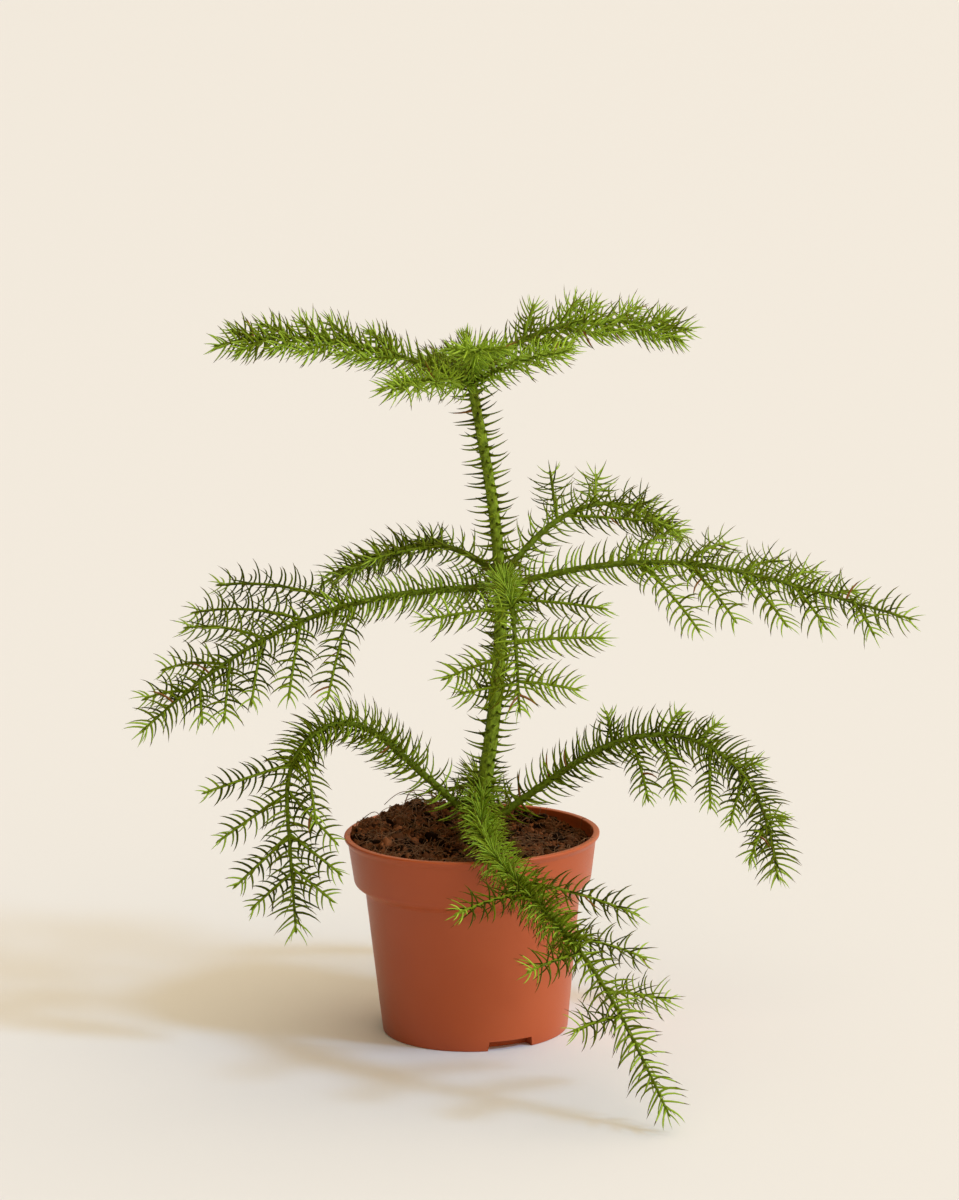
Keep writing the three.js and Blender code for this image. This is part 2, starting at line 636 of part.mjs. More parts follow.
function massGeometry(plan, mass) {
  const stem = needledTube(plan.line, { owner: mass.name, limb: "stem", sides: TWIG_SIDES, every: 1,
    radiusAt: (share) => boughRadius(plan.bough, share), from: mass.from, to: mass.to, pitch: NEEDLE_PITCH,
    bareStart: NEEDLE_STEP, needle: NEEDLE_LENGTH, lean: NEEDLE_LEAN, seed: plan.seed + 1,
    point: mass.last ? TWIG_TIP_LENGTH : 0 });
  const twigs = mass.twigs.map((twig, i) => needledTube(twig.points, { owner: mass.name, limb: twig.limb,
    sides: TWIG_SIDES, every: 1, root: true, radiusAt: (share) => twigRadius(share, twig), from: 0, to: 1,
    pitch: NEEDLE_PITCH, bareStart: TWIG_BARE_START, needle: NEEDLE_LENGTH, lean: NEEDLE_LEAN,
    seed: plan.seed + 2 + i, point: TWIG_TIP_LENGTH }));
  return joined([stem, ...twigs]);
}

function twigRadius(share, twig) {
  const grown = ease(share * twig.length / TWIG_ROOT_LENGTH);
  const taper = THREE.MathUtils.lerp(TWIG_RADIUS, STEM_TIP_RADIUS, share);
  return THREE.MathUtils.lerp(TWIG_ROOT_RADIUS, taper, grown);
}

// Where a bough ends and its one or two masses begin
function planBough(bough, index) {
  const line = boughLine(bough);
  const boughName = `bough_${bough.name}`;
  const boughEnd = (bough.leafy ?? bough.first) - BOUGH_END_MARGIN;
  const gap = GAP / bough.length;
  const ends = bough.split ? [boughEnd, bough.split, 1] : [boughEnd, 1];
  const suffixes = bough.split ? ["_crest", "_fall"] : [""];
  const masses = suffixes.map((suffix, i) => ({ name: `foliage_${bough.name}${suffix}`, from: ends[i] + gap,
    to: ends[i + 1], last: i === suffixes.length - 1, twigs: [] }));
  return { bough, index, line, boughName, boughEnd, masses, seed: SEEDS_PER_BOUGH * (index + 1) };
}

function registerPlan(plan) {
  const register = (owner, limb, from, to) => {
    const shares = Array.from({ length: LINE_STEPS + 1 }, (_, i) => from + (to - from) * i / LINE_STEPS);
    const points = shares.map((share) => pointAt(plan.line, share));
    registerLine(owner, limb, points, (share) => boughRadius(plan.bough, from + (to - from) * share));
  };
  register(plan.boughName, "bough", 0, plan.boughEnd);
  plan.masses.forEach((mass) => register(mass.name, "stem", mass.from, mass.to));
}

function growTwigs(plan) {
  for (let pair = 0; pair < plan.bough.pairs; pair++) {
    for (const side of [1, -1]) {
      const twig = twigLine(plan.bough, plan.line, plan.index, pair, side);
      const mass = plan.masses.find((one) => twig.share < one.to);
      const limb = `twig_${pair}_${side}`;
      if (twigFits(mass.name, twig.points)) {
        mass.twigs.push({ ...twig, limb, length: lineLength(twig.points) });
        registerLine(mass.name, limb, twig.points, () => TWIG_RADIUS);
      }
    }
  }
}

function makePlant() {
  const plant = new THREE.Group();
  const line = trunkLine();
  registerLine("trunk", "trunk", line, trunkRadius);
  const plans = BOUGHS.map(planBough);
  plans.forEach(registerPlan);
  plans.forEach(growTwigs);
  const sleeve = trunkSleeve(line);
  plant.add(subPart("trunk", trunkGeometry(line), COLOURS.bark));
  plant.add(subPart("leader_tuft", leaderGeometry(line), COLOURS.foliage));
  plans.forEach((plan) => plant.add(subPart(plan.boughName, boughGeometry(plan, sleeve), COLOURS.bark)));
  plans.forEach((plan) => plan.masses.forEach((mass) => {
    plant.add(subPart(mass.name, massGeometry(plan, mass), COLOURS.foliage));
  }));
  return plant;
}

const pottedPine = new THREE.Group();
pottedPine.add(subPart("pot", potGeometry(), COLOURS.pot));
pottedPine.add(subPart("soil", soilGeometry(), COLOURS.soil));
pottedPine.add(makePlant());

export default pottedPine;
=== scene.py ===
"""A young Norfolk Island pine in a nursery pot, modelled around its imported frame.

The plant grows by the same rule as its solids, carried on to every needle. Lengths in the rule are in
millimetres, and meshes are in metres. +X is to the right and -Y is to the front.
"""

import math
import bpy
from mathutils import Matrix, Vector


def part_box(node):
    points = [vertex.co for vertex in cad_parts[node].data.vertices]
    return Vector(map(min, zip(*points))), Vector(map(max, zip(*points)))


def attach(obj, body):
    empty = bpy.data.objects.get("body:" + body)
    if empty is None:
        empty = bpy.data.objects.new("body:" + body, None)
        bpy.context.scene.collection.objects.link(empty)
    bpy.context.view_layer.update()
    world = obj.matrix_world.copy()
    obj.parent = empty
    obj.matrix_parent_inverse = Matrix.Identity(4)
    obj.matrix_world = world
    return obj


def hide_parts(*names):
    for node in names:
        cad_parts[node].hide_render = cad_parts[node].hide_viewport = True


bl_info = {
    "name": "Potted Norfolk Island Pine",
    "version": (1, 0, 0),
    "blender": (4, 5, 0),
    "location": "View3D > Sidebar > Pine",
    "description": "Grows a young pine by a branching rule and models its pot, compost and studio",
    "category": "Add Mesh",
}

from dataclasses import dataclass

import bmesh
import bpy
import numpy as np
from mathutils import Matrix, Vector

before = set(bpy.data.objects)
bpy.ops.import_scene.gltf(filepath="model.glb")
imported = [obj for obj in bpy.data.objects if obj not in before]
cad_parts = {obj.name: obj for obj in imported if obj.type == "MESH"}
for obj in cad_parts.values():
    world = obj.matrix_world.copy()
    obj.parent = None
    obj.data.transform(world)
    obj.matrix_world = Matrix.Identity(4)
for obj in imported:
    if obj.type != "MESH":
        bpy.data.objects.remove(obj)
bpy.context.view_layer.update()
POT_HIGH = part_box("pot")[1]

MM = 0.001
DEGREE = math.pi / 180
WELD = 0.001 * MM

# Pot and compost, in millimetres
POT_HEIGHT = POT_HIGH.z / MM
RIM_RADIUS = POT_HIGH.x / MM
LIP_HEIGHT = 3.5
LIP_OVERHANG = 1.8
LIP_WIDTH = 3.1
LIP_NOSE = 1.3
COLLAR_HEIGHT = 22.5
COLLAR_FOOT_RADIUS = 55.6
LEDGE_HEIGHT = 3.6
BODY_TOP_RADIUS = 50.6
FOOT_RADIUS = 43.7
POT_FLOOR = 6.2
COLLAR_FOOT_Z = POT_HEIGHT - COLLAR_HEIGHT
LEDGE_Z = COLLAR_FOOT_Z - LEDGE_HEIGHT
LIP_Z = POT_HEIGHT - LIP_HEIGHT
NOTCH_COUNT = 3
NOTCH_HEADING = 292.5
NOTCH_WIDTH = 22
NOTCH_TOP_SHARE = 0.78
NOTCH_HEIGHT = 4.6
NOTCH_DEPTH = 9
SOIL_LEVEL = 90.5
SOIL_BANK = 5
SOIL_BANK_HEADING = 150
SOIL_LUMP = 1.4
SOIL_LUMP_TURN = 0.19
SEAT_RADIUS = 9
MOUND_PLACE = (-24, 42)
MOUND_HEIGHT = 4.5
MOUND_RADIUS = 13

# Trunk, boughs and twigs, in millimetres and degrees
SOIL_Z = 92
TRUNK_TIP_Z = 322
TRUNK_FOOT_X = 3
TRUNK_LEAN = -1.5
TRUNK_BOW = 13
TRUNK_BOW_Y = -2
TRUNK_BOW_SHARPNESS = 1.2
TRUNK_FOOT_RADIUS = 3.7
TRUNK_TIP_RADIUS = 2.1
ROOT_FLARE = 1.5
FLARE_HEIGHT = 5
ROOT_DEPTH = 3
LEADER_LENGTH = 6.5
LINE_STEPS = 32
TWIG_STEPS = 8
STEM_TIP_RADIUS = 0.6
STEM_END_RADIUS = 0.05
TUBE_STEPS_LEAST = 4
TWIG_RADIUS = 0.8
TWIG_LAST_SHARE = 0.94
TWIG_SHORTEST = 7
TWIG_TAPER = 0.7
TWIG_VARIATION = 0.12
PAIR_OFFSET = 0.25
PAIR_SCATTER = 0.18
TWIG_CLEARANCE = 2.2
NEEDLE_CLEARANCE = 0.3
FLOOR_CLEARANCE = 0.6
WHORL_HEIGHTS = {"top": 308, "mid": 212, "low": 114}
WHORL_RADII = {"top": 1.5, "mid": 1.8, "low": 2.0}


@dataclass(frozen=True)
class Bough:
    """One bough. Its line leaves the trunk at its whorl's height plus its lift, at a heading (0 right, 90 to
    the back), turns up to the share turned_by, and bends from its rise to its fall between two shares of its
    length. Its twigs stand in pairs from the share first towards the share last, at the angle spread: tilt
    and twist turn them out of the level, sag bends them down, uneven favours one side, and taper shortens
    them towards the tip. Its needles grow by its habit, or else by its whorl. Between the first two values
    of bushy, which are shares, its own needles stand closer by the third. The names of its foliage's solids
    end in masses."""

    name: str
    whorl: str
    heading: float
    turn: float
    rise: float
    fall: float
    bend: tuple
    length: float
    pairs: int
    first: float
    twig: float
    spread: float
    lift: float = 0
    tilt: float = 0
    twist: float = 0
    sag: float = 0
    uneven: float = 0
    taper: float = TWIG_TAPER
    turned_by: float = 1
    last: float = TWIG_LAST_SHARE
    habit: str = ""
    bushy: tuple = (0, 1, 1)
    masses: tuple = ("",)


HANGING = ("_crest", "_fall")
BOUGHS = (
    Bough("top_left", "top", heading=174, turn=3, rise=18, fall=-13, bend=(0.2, 1.15), length=121, pairs=5,
          first=0.26, twig=16, spread=40, tilt=24, taper=0.3),
    Bough("top_front_left", "top", heading=236, turn=-8, rise=16, fall=-12, bend=(0, 1.1), length=60, pairs=3,
          first=0.34, twig=16, spread=44, lift=-3, sag=0.1, habit="crown", bushy=(0, 0.4, 1.8)),
    Bough("top_front", "top", heading=278, turn=0, rise=34, fall=10, bend=(0, 1), length=40, pairs=3,
          first=0.4, twig=14, spread=48, lift=3, habit="crown", bushy=(0, 0.55, 3)),
    Bough("top_front_right", "top", heading=325, turn=8, rise=27, fall=10, bend=(0, 1), length=54, pairs=3,
          first=0.35, twig=16, spread=46, lift=-2, habit="crown", bushy=(0, 0.4, 1.8)),
    Bough("top_right", "top", heading=22, turn=-7, rise=32, fall=-10, bend=(0, 0.85), length=114, pairs=5,
          first=0.26, twig=15, spread=42, lift=2, tilt=-36, twist=12, taper=0.3),
    Bough("top_back", "top", heading=98, turn=0, rise=12, fall=-20, bend=(0, 1), length=92, pairs=4,
          first=0.3, twig=19, spread=42, lift=-1, sag=0.1),
    Bough("mid_left", "mid", heading=188, turn=12, rise=0, fall=-38, bend=(0.02, 1), length=185, pairs=5,
          first=0.38, twig=56, spread=56, lift=-1, tilt=32, twist=6, sag=0.4, uneven=0.14, taper=1,
          bushy=(0, 0.45, 1.7)),
    Bough("mid_back_left", "mid", heading=144, turn=17, rise=30, fall=-21, bend=(0, 0.7), length=98, pairs=4,
          first=0.36, twig=34, spread=50, lift=4, sag=0.3),
    Bough("mid_back_right", "mid", heading=47, turn=-20, rise=34, fall=-47, bend=(0.1, 1.15), length=123,
          pairs=3, first=0.36, twig=38, spread=50, lift=3, tilt=-20, sag=0.1),
    Bough("mid_right", "mid", heading=1, turn=6, rise=13.5, fall=-18, bend=(0, 0.75), length=198, pairs=5,
          first=0.3, twig=42, spread=54, lift=-1, tilt=-26, sag=0.4, bushy=(0.3, 0.8, 1.5), habit="sunlit"),
    Bough("mid_front", "mid", heading=276, turn=-2, rise=10, fall=-67, bend=(0.06, 0.94), length=103, pairs=3,
          first=0.46, last=1.06, twig=38, spread=86, sag=0.15, taper=0.4,
          bushy=(0, 0.5, 3.2), habit="rosette"),
    Bough("low_left", "low", heading=205, turn=11, rise=43.5, fall=-93, bend=(0.29, 0.74), length=203,
          pairs=4, first=0.57, twig=33, spread=52, lift=-16, tilt=57, sag=0.05, uneven=0.08, taper=0.5,
          bushy=(0.22, 0.62, 2.7), masses=HANGING),
    Bough("low_right", "low", heading=5, turn=-11, rise=34, fall=-82, bend=(0.22, 0.98), length=196, pairs=5,
          first=0.38, twig=17, spread=72, lift=-19, tilt=-70, twist=30, sag=0.7, uneven=0.42, taper=0.35,
          bushy=(0.2, 1, 1.8), habit="tufted", masses=HANGING),
    Bough("low_front", "low", heading=262, turn=47.5, turned_by=0.55, rise=-12, fall=-52, bend=(0.26, 0.93),
          length=228, pairs=3, first=0.39, twig=44, spread=82, lift=-2, tilt=10, sag=0.2, uneven=-0.14,
          taper=0.4, bushy=(0, 0.62, 3.4), habit="front", masses=HANGING),
    Bough("low_back", "low", heading=92, turn=0, rise=-6, fall=-76, bend=(0.3, 0.9), length=150, pairs=4,
          first=0.5, twig=36, spread=50, sag=0.3),
)

# Weights that scatter the values of chance, as in the solids
CHANCE_WEIGHTS = (12.9898, 78.233, 37.719, 94.673)
CHANCE_STRETCH = 43758.5453

# Places in the draw of random values
TRUNK_SEED = 1
LEADER_SEED = 2
SEEDS_PER_BOUGH = 100
SPRAY_DRAW = 7
CLOD_SEED = 12
CRUMB_SEED = 11
FIBRE_SEED = 13

# Needle tints, by material slot
NEEDLE_TINTS = ("needle_deep", "needle_mid", "needle_bright", "needle_young", "needle_fresh_and_lit", "needle_tip",
                "needle_dry")
DEEP, MIDDLE, BRIGHT, YOUNG, FRESH_AND_LIT, TIP, DRY = range(len(NEEDLE_TINTS))
BRIGHT_TINTS = NEEDLE_TINTS[BRIGHT:TIP]

# A needle's width at even steps, as shares of its foot's
EVEN_TAPER = (1.0, 0.9, 0.75, 0.5)
THORN_TAPER = (1.0, 0.56, 0.42, 0.28)


@dataclass(frozen=True)
class Growth:
    """How needles stand on a limb: how many for each millimetre, their length and width, their lean from the
    limb at foot and tip, how far they are drawn into two flat ranks, the foot that runs down the limb, the
    bare stretch at the limb's start, by how many degrees they stray, and their taper."""

    per_mm: float
    length: float
    lean: tuple
    flat: float = 0
    width: float = 1.15
    foot: float = 2.4
    bare: float = 2.5
    unruly: float = 4
    taper: tuple = EVEN_TAPER


@dataclass(frozen=True)
class Habit:
    """How a bough's foliage grows: the needles of the bough and of its twigs, the tint of the bough's own
    needles, the odds that the spray of a twig is deep, middle, bright, young or fresh, and the share of the
    bough past which its own needles are a tint deeper, as painted shade."""

    bough: Growth
    twig: Growth
    tint: int
    odds: tuple
    fade: float = 1


TRUNK_GROWTH = Growth(per_mm=1.15, length=10.2, lean=(92, 66), width=1.8, foot=5, bare=7, unruly=9,
                      taper=THORN_TAPER)
LEADER_GROWTH = Growth(per_mm=3.5, length=9.5, lean=(46, 20), width=1.0, foot=1.5, bare=0)
MID_BOUGH = Growth(per_mm=1.2, length=13, lean=(84, 40), flat=0.25, foot=3, bare=4)
MID_TWIG = Growth(per_mm=0.95, length=13, lean=(84, 30), flat=0.75)
FRONT_BOUGH = Growth(per_mm=1.3, length=13.5, lean=(80, 44), foot=3, bare=0, unruly=13)
LOW_BOUGH = Growth(per_mm=1.1, length=14, lean=(84, 44), flat=0.15, foot=3, bare=4, unruly=7)
# Each habit's tints and odds are partly the foliage's own tones and partly painted light and shade: the deep
# odds of the mid and low sprays paint the shade inside and under the crown, and the bright and young tints of
# the sunlit bough, the rosette and the front bough paint light on them.
HABITS = {
    "top": Habit(Growth(per_mm=1.7, length=12.5, lean=(70, 44), flat=0.1, unruly=6),
                 Growth(per_mm=1.7, length=11.5, lean=(64, 34), flat=0.15, bare=1.5, unruly=6),
                 tint=BRIGHT, odds=(0, 0.1, 0.4, 0.5)),
    # The crown is dealt young and fresh tints as painted light on its self-shaded heart, besides the paleness
    # of its new growth.
    "crown": Habit(Growth(per_mm=1.2, length=12.5, lean=(76, 50), bare=0, unruly=6),
                   Growth(per_mm=1.0, length=11.5, lean=(66, 36), flat=0.1, bare=1.5, unruly=6),
                   tint=FRESH_AND_LIT, odds=(0, 0, 0, 0.75, 0.25)),
    "mid": Habit(MID_BOUGH, MID_TWIG, tint=BRIGHT, odds=(0.4, 0.5, 0.1), fade=0.45),
    "sunlit": Habit(MID_BOUGH, MID_TWIG, tint=BRIGHT, odds=(0.15, 0.5, 0.35), fade=0.8),
    "front": Habit(FRONT_BOUGH, Growth(per_mm=1.1, length=12.5, lean=(80, 32), flat=0.5),
                   tint=YOUNG, odds=(0.55, 0.4, 0.05), fade=0.4),
    "rosette": Habit(FRONT_BOUGH, Growth(per_mm=1.2, length=12.5, lean=(80, 32), flat=0.55),
                     tint=YOUNG, odds=(0, 0.4, 0.6), fade=0.5),
    "low": Habit(LOW_BOUGH, Growth(per_mm=0.8, length=10, lean=(80, 32), flat=0.7),
                 tint=BRIGHT, odds=(0.75, 0.25), fade=0.45),
    "tufted": Habit(LOW_BOUGH, Growth(per_mm=1.3, length=10, lean=(80, 36), flat=0.4, unruly=7),
                    tint=MIDDLE, odds=(0.15, 0.5, 0.35)),
}

# The spiral of the needles and the shape of each, in radians, millimetres and shares
GOLDEN_TURN = math.pi * (3 - math.sqrt(5))
TUFT_LENGTH = 9
STATION_STEPS = 200
NEEDLE_STEPS = 4
RING_CORNERS = 4
NEEDLE_FLATNESS = 0.72
HEEL_SHARE = 0.5
NEEDLE_SINK = 0.25

# How needles vary: places between two needles, radians, shares and degrees
STATION_SCATTER = (0.15, 0.85)
TURN_SCATTER = 0.15
LENGTH_SCATTER = (-0.16, 0.14)
WIDTH_SCATTER = 0.12
RISE_TO_LIGHT = 9

# What being young, from 0 to 1, takes from a needle's length, its width and its leans at foot and tip
YOUNG_SHORTER = 0.42
YOUNG_NARROWER = 0.2
YOUNG_CLOSER = (0.5, 0.6)

# How young a needle is where it turns bright or young, and where its point stays soft
BRIGHT_FROM = 0.1
YOUNG_FROM = 0.4
SOFT_POINT_FROM = 0.45

# Draws from 0 to 1 that make a needle a tint brighter, a tint deeper or dry
BRIGHTER_ABOVE = 0.78
DEEPER_BELOW = 0.25
DRY_BETWEEN = (0.5, 0.506)
NEEDLE_ROUGHNESS = 0.42
BRIGHT_SHEEN = 0.08
DEEP_SHEEN = 0.03


# Settings that a user may change

def colour_property(name, description, default):
    return bpy.props.FloatVectorProperty(name=name, description=description, subtype="COLOR", size=3,
                                         min=0, max=1, default=default)


def length_property(name, description, default):
    return bpy.props.FloatProperty(name=name, description=description, unit="LENGTH", min=0, default=default)


def count_property(name, description, default, least=0):
    return bpy.props.IntProperty(name=name, description=description, default=default, min=least)


def factor_property(name, description, least, most):
    return bpy.props.FloatProperty(name=name, description=description, subtype="FACTOR", default=1,
                                   min=least, max=most)


def strength_property(name, description, default):
    return bpy.props.FloatProperty(name=name, description=description, default=default, min=0)


class PinePotSettings(bpy.types.PropertyGroup):
    """Sizes and colours of the pot and its compost"""

    edge_round: length_property("Edge round", "Radius of the pot's moulded edges", 0.6 * MM)
    ledge_round: length_property("Ledge round", "Radius of the bends under the collar", 1.3 * MM)
    segments: count_property("Segments", "Sides of the pot's wall", 144, least=24)
    plastic: colour_property("Plastic", "Terracotta colour of the pot", (0.42, 0.079, 0.020))
    plastic_pale: colour_property("Pale plastic", "Paler cloudy patches of the pot", (0.456, 0.093, 0.0265))
    # The damp compost's near-black is partly the compost's own tone and partly painted shade of the gaps
    # between clods; it is dealt to the bed and to some clods and crumbs.
    compost: colour_property("Compost", "Damp compost between the crumbs", (0.010, 0.0034, 0.0010))
    compost_dry: colour_property("Dry compost", "Compost that has dried on top", (0.20, 0.070, 0.026))
    fibre: colour_property("Fibre", "Fibres and rootlets in the compost", (0.17, 0.082, 0.036))
    clods: count_property("Clods", "Clods that stand out of the compost", 230)
    crumbs: count_property("Crumbs", "Crumbs that lie on the compost", 2400)
    fibres: count_property("Fibres", "Fibres that lie in the compost", 620)


class PinePlantSettings(bpy.types.PropertyGroup):
    """Sizes and colours of the plant"""

    needle_scale: factor_property("Needle length", "Factor on every needle's length", 0.2, 1.5)
    needle_density: factor_property("Needle density", "Factor on the number of needles", 0.05, 2)
    bark_relief: length_property("Bark relief", "Depth of the bark's relief", 0.45 * MM)
    bark_bough: colour_property("Bough bark", "Green of the boughs", (0.135, 0.19, 0.009))
    bark_young: colour_property("Trunk bark", "Green of the trunk", (0.27, 0.385, 0.028))
    bark_old: colour_property("Old bark", "Darker green of the bark's hollows", (0.062, 0.086, 0.006))
    twig: colour_property("Twig", "Yellow green of the twigs", (0.150, 0.215, 0.009))
    # The deep tint is partly the darker tone of older needles and partly painted shade of the inner and lower
    # crown.
    deep: colour_property("Deep needle", "Needles in the inner crown", (0.052, 0.067, 0.002))
    middle: colour_property("Mid needle", "Needles along the twigs", (0.113, 0.149, 0.004))
    bright: colour_property("Bright needle", "Needles of vigorous twigs", (0.195, 0.274, 0.012))
    young: colour_property("Young needle", "Needles of the shoot tips", (0.310, 0.455, 0.038))
    # The fresh tint is partly the paleness of new growth and partly painted light on the crown's heart, which
    # lies in its own shade.
    fresh: colour_property("Fresh needle", "Needles at the heart of the newest whorl", (0.41, 0.59, 0.046))
    tip: colour_property("Needle tip", "Hardened points of the needles", (0.100, 0.083, 0.008))
    dry: colour_property("Dry needle", "Needles that have dried", (0.23, 0.10, 0.025))


class PineStageSettings(bpy.types.PropertyGroup):
    """Floor, light and camera"""

    floor: colour_property("Floor", "Pale floor", (0.742, 0.757, 0.80))
    key: strength_property("Key", "Strength of the key light", 1.7)
    key_colour: colour_property("Key colour", "Cool light of the key", (0.43, 0.681, 1.0))
    fill: strength_property("Fill", "Strength of the room's light", 1.689)
    fill_colour: colour_property("Fill colour", "Warm light of the room", (1.0, 0.8155, 0.544))
    softness: bpy.props.FloatProperty(name="Softness", subtype="ANGLE", unit="ROTATION", min=0,
                                      description="Width of the key light seen from the plant",
                                      default=9 * DEGREE)


# The branching rule

def chance(*keys):
    """A fixed value from 0 to 1 for up to four whole numbers."""
    total = sum(key * weight for key, weight in zip(keys, CHANCE_WEIGHTS))
    return math.sin(total) * CHANCE_STRETCH % 1.0


def jitter(*keys):
    return 2 * chance(*keys) - 1


def ease(share):
    t = np.clip(share, 0, 1)
    return t * t * (3 - 2 * t)


def unit(vectors):
    return vectors / np.linalg.norm(vectors, axis=-1, keepdims=True)


def point_at(line, share):
    """The points at these shares of an evenly stepped line."""
    place = np.clip(share, 0, 1) * (len(line) - 1)
    step = np.minimum(np.floor(place).astype(int), len(line) - 2)
    return line[step] + (line[step + 1] - line[step]) * np.asarray(place - step)[..., None]


def tangent_at(line, share):
    reach = 0.5 / (len(line) - 1)
    share = np.asarray(share, float)
    return unit(point_at(line, share + reach) - point_at(line, share - reach))


def line_length(line):
    return float(np.linalg.norm(np.diff(line, axis=0), axis=1).sum())


def trunk_centre(z):
    share = np.clip((np.asarray(z, float) - SOIL_Z) / (TRUNK_TIP_Z - SOIL_Z), 0, 1)
    bow = np.maximum(np.sin(math.pi * share), 0)
    x = TRUNK_FOOT_X + TRUNK_LEAN * share + TRUNK_BOW * bow ** TRUNK_BOW_SHARPNESS
    return np.stack([x, TRUNK_BOW_Y * bow, np.asarray(z, float)], axis=-1)


def trunk_radius(z):
    share = np.clip((z - SOIL_Z) / (TRUNK_TIP_Z - SOIL_Z), 0, 1)
    taper = TRUNK_FOOT_RADIUS + (TRUNK_TIP_RADIUS - TRUNK_FOOT_RADIUS) * share
    return taper + ROOT_FLARE * np.exp(-(z - SOIL_Z) / FLARE_HEIGHT)


def heading_at(bough, share):
    return (bough.heading + bough.turn * min(share / bough.turned_by, 1)) * DEGREE


def bough_direction(bough, share):
    heading = heading_at(bough, share)
    bend_from, bend_to = bough.bend
    bend = ease((share - bend_from) / (bend_to - bend_from))
    slope = (bough.rise + (bough.fall - bough.rise) * bend) * DEGREE
    level = math.cos(slope)
    return np.array([math.cos(heading) * level, math.sin(heading) * level, math.sin(slope)])


def bough_line(bough):
    points = [trunk_centre(WHORL_HEIGHTS[bough.whorl] + bough.lift)]
    for i in range(LINE_STEPS):
        step = bough_direction(bough, (i + 0.5) / LINE_STEPS) * bough.length / LINE_STEPS
        points.append(points[-1] + step)
    return np.array(points)


def twig_side(bough, line, share):
    """The twigs' sideways direction at a share of the bough."""
    heading = heading_at(bough, share)
    level = np.array([math.sin(heading), -math.cos(heading), 0])
    above = np.cross(level, tangent_at(line, share))
    tilt = (bough.tilt + bough.twist * share) * DEGREE
    return level * math.cos(tilt) + above * math.sin(tilt)


def twig_line(bough, line, bough_index, pair, side):
    scatter = (PAIR_OFFSET if side > 0 else 0) + PAIR_SCATTER * jitter(bough_index, pair, side, 0)
    share = bough.first + (bough.last - bough.first) * (pair + scatter) / bough.pairs
    shorter = ((1 - share) / (1 - bough.first)) ** bough.taper
    vary = 1 + TWIG_VARIATION * jitter(bough_index, pair, side, 1)
    favour = 1 + bough.uneven * side
    length = bough.twig * shorter * vary * favour + TWIG_SHORTEST
    spread = bough.spread * DEGREE * (1 + TWIG_VARIATION * jitter(bough_index, pair, side, 2))
    sideways = twig_side(bough, line, share)
    direction = tangent_at(line, share) * math.cos(spread) + sideways * side * math.sin(spread)
    points = [point_at(line, share)]
    for _ in range(TWIG_STEPS):
        direction = unit(direction - np.array([0, 0, bough.sag * favour / TWIG_STEPS]))
        points.append(points[-1] + direction * length / TWIG_STEPS)
    return share, sideways, np.array(points)


def pot_radius(z):
    body = FOOT_RADIUS + (BODY_TOP_RADIUS - FOOT_RADIUS) * np.maximum(z, 0) / LEDGE_Z
    return np.where(z > LEDGE_Z, RIM_RADIUS, body)


def clear_of_pot(points, margin):
    """Which points lie above the floor and outside the pot."""
    x, y, z = np.moveaxis(points, -1, 0)
    outside = (z > POT_HEIGHT + margin) | (np.hypot(x, y) > pot_radius(z) + margin)
    return outside & (z > FLOOR_CLEARANCE + margin)


@dataclass
class Limb:
    """A grown limb: its line, its radius at both ends, the direction that its needles spread flat in, how its
    needles grow, its place in the draw of random values, the tint of its spray, the share past which that is
    a tint deeper as painted shade, and its bushy stretch."""

    line: np.ndarray
    radii: tuple
    across: np.ndarray
    growth: Growth
    seed: int
    tint: int
    fade: float = 1
    bushy: tuple = (0, 1, 1)

    def radius_at(self, share):
        return self.radii[0] + (self.radii[1] - self.radii[0]) * share


def spray_tint(habit, seed):
    """The tint that a twig's spray is dealt, by the odds of its habit."""
    return int(np.searchsorted(np.cumsum(habit.odds), chance(seed, SPRAY_DRAW)))


def grow_bough(bough, index):
    """The bough's own limb, and its twigs."""
    line = bough_line(bough)
    shares = np.linspace(0, 1, LINE_STEPS + 1)
    across = np.array([twig_side(bough, line, share) for share in shares])
    seed = SEEDS_PER_BOUGH * (index + 1)
    habit = HABITS[bough.habit or bough.whorl]
    stem = Limb(line, (WHORL_RADII[bough.whorl], STEM_TIP_RADIUS), across, habit.bough, seed,
                habit.tint, habit.fade, bough.bushy)
    twigs = []
    for pair in range(bough.pairs):
        for side in (1, -1):
            share, sideways, points = twig_line(bough, line, index, pair, side)
            if not clear_of_pot(points[1:], TWIG_CLEARANCE).all():
                continue
            seed += 1
            facing = np.cross(tangent_at(line, share), sideways)
            flat = unit(np.cross(facing, tangent_at(points, np.linspace(0, 1, TWIG_STEPS + 1))))
            root = min(TWIG_RADIUS, stem.radius_at(share))
            tint = spray_tint(habit, seed)
            twigs.append(Limb(points, (root, STEM_TIP_RADIUS), flat, habit.twig, seed, tint))
    return stem, twigs


def grow_trunk():
    """The trunk, and the leading shoot above it."""
    heights = np.linspace(SOIL_Z - ROOT_DEPTH, TRUNK_TIP_Z, LINE_STEPS + 1)
    line = trunk_centre(heights)
    across = np.tile([1.0, 0, 0], (len(line), 1))
    trunk = Limb(line, (TRUNK_FOOT_RADIUS, TRUNK_TIP_RADIUS), across, TRUNK_GROWTH, TRUNK_SEED, MIDDLE)
    tip = line[-1] + np.outer([0, LEADER_LENGTH / 2, LEADER_LENGTH], tangent_at(line, 1.0))
    # The leading shoot's fresh tint is partly new growth and partly painted light.
    leader = Limb(tip, (TRUNK_TIP_RADIUS, STEM_TIP_RADIUS), across[:len(tip)], LEADER_GROWTH, LEADER_SEED,
                  FRESH_AND_LIT)
    return trunk, leader


# Needles

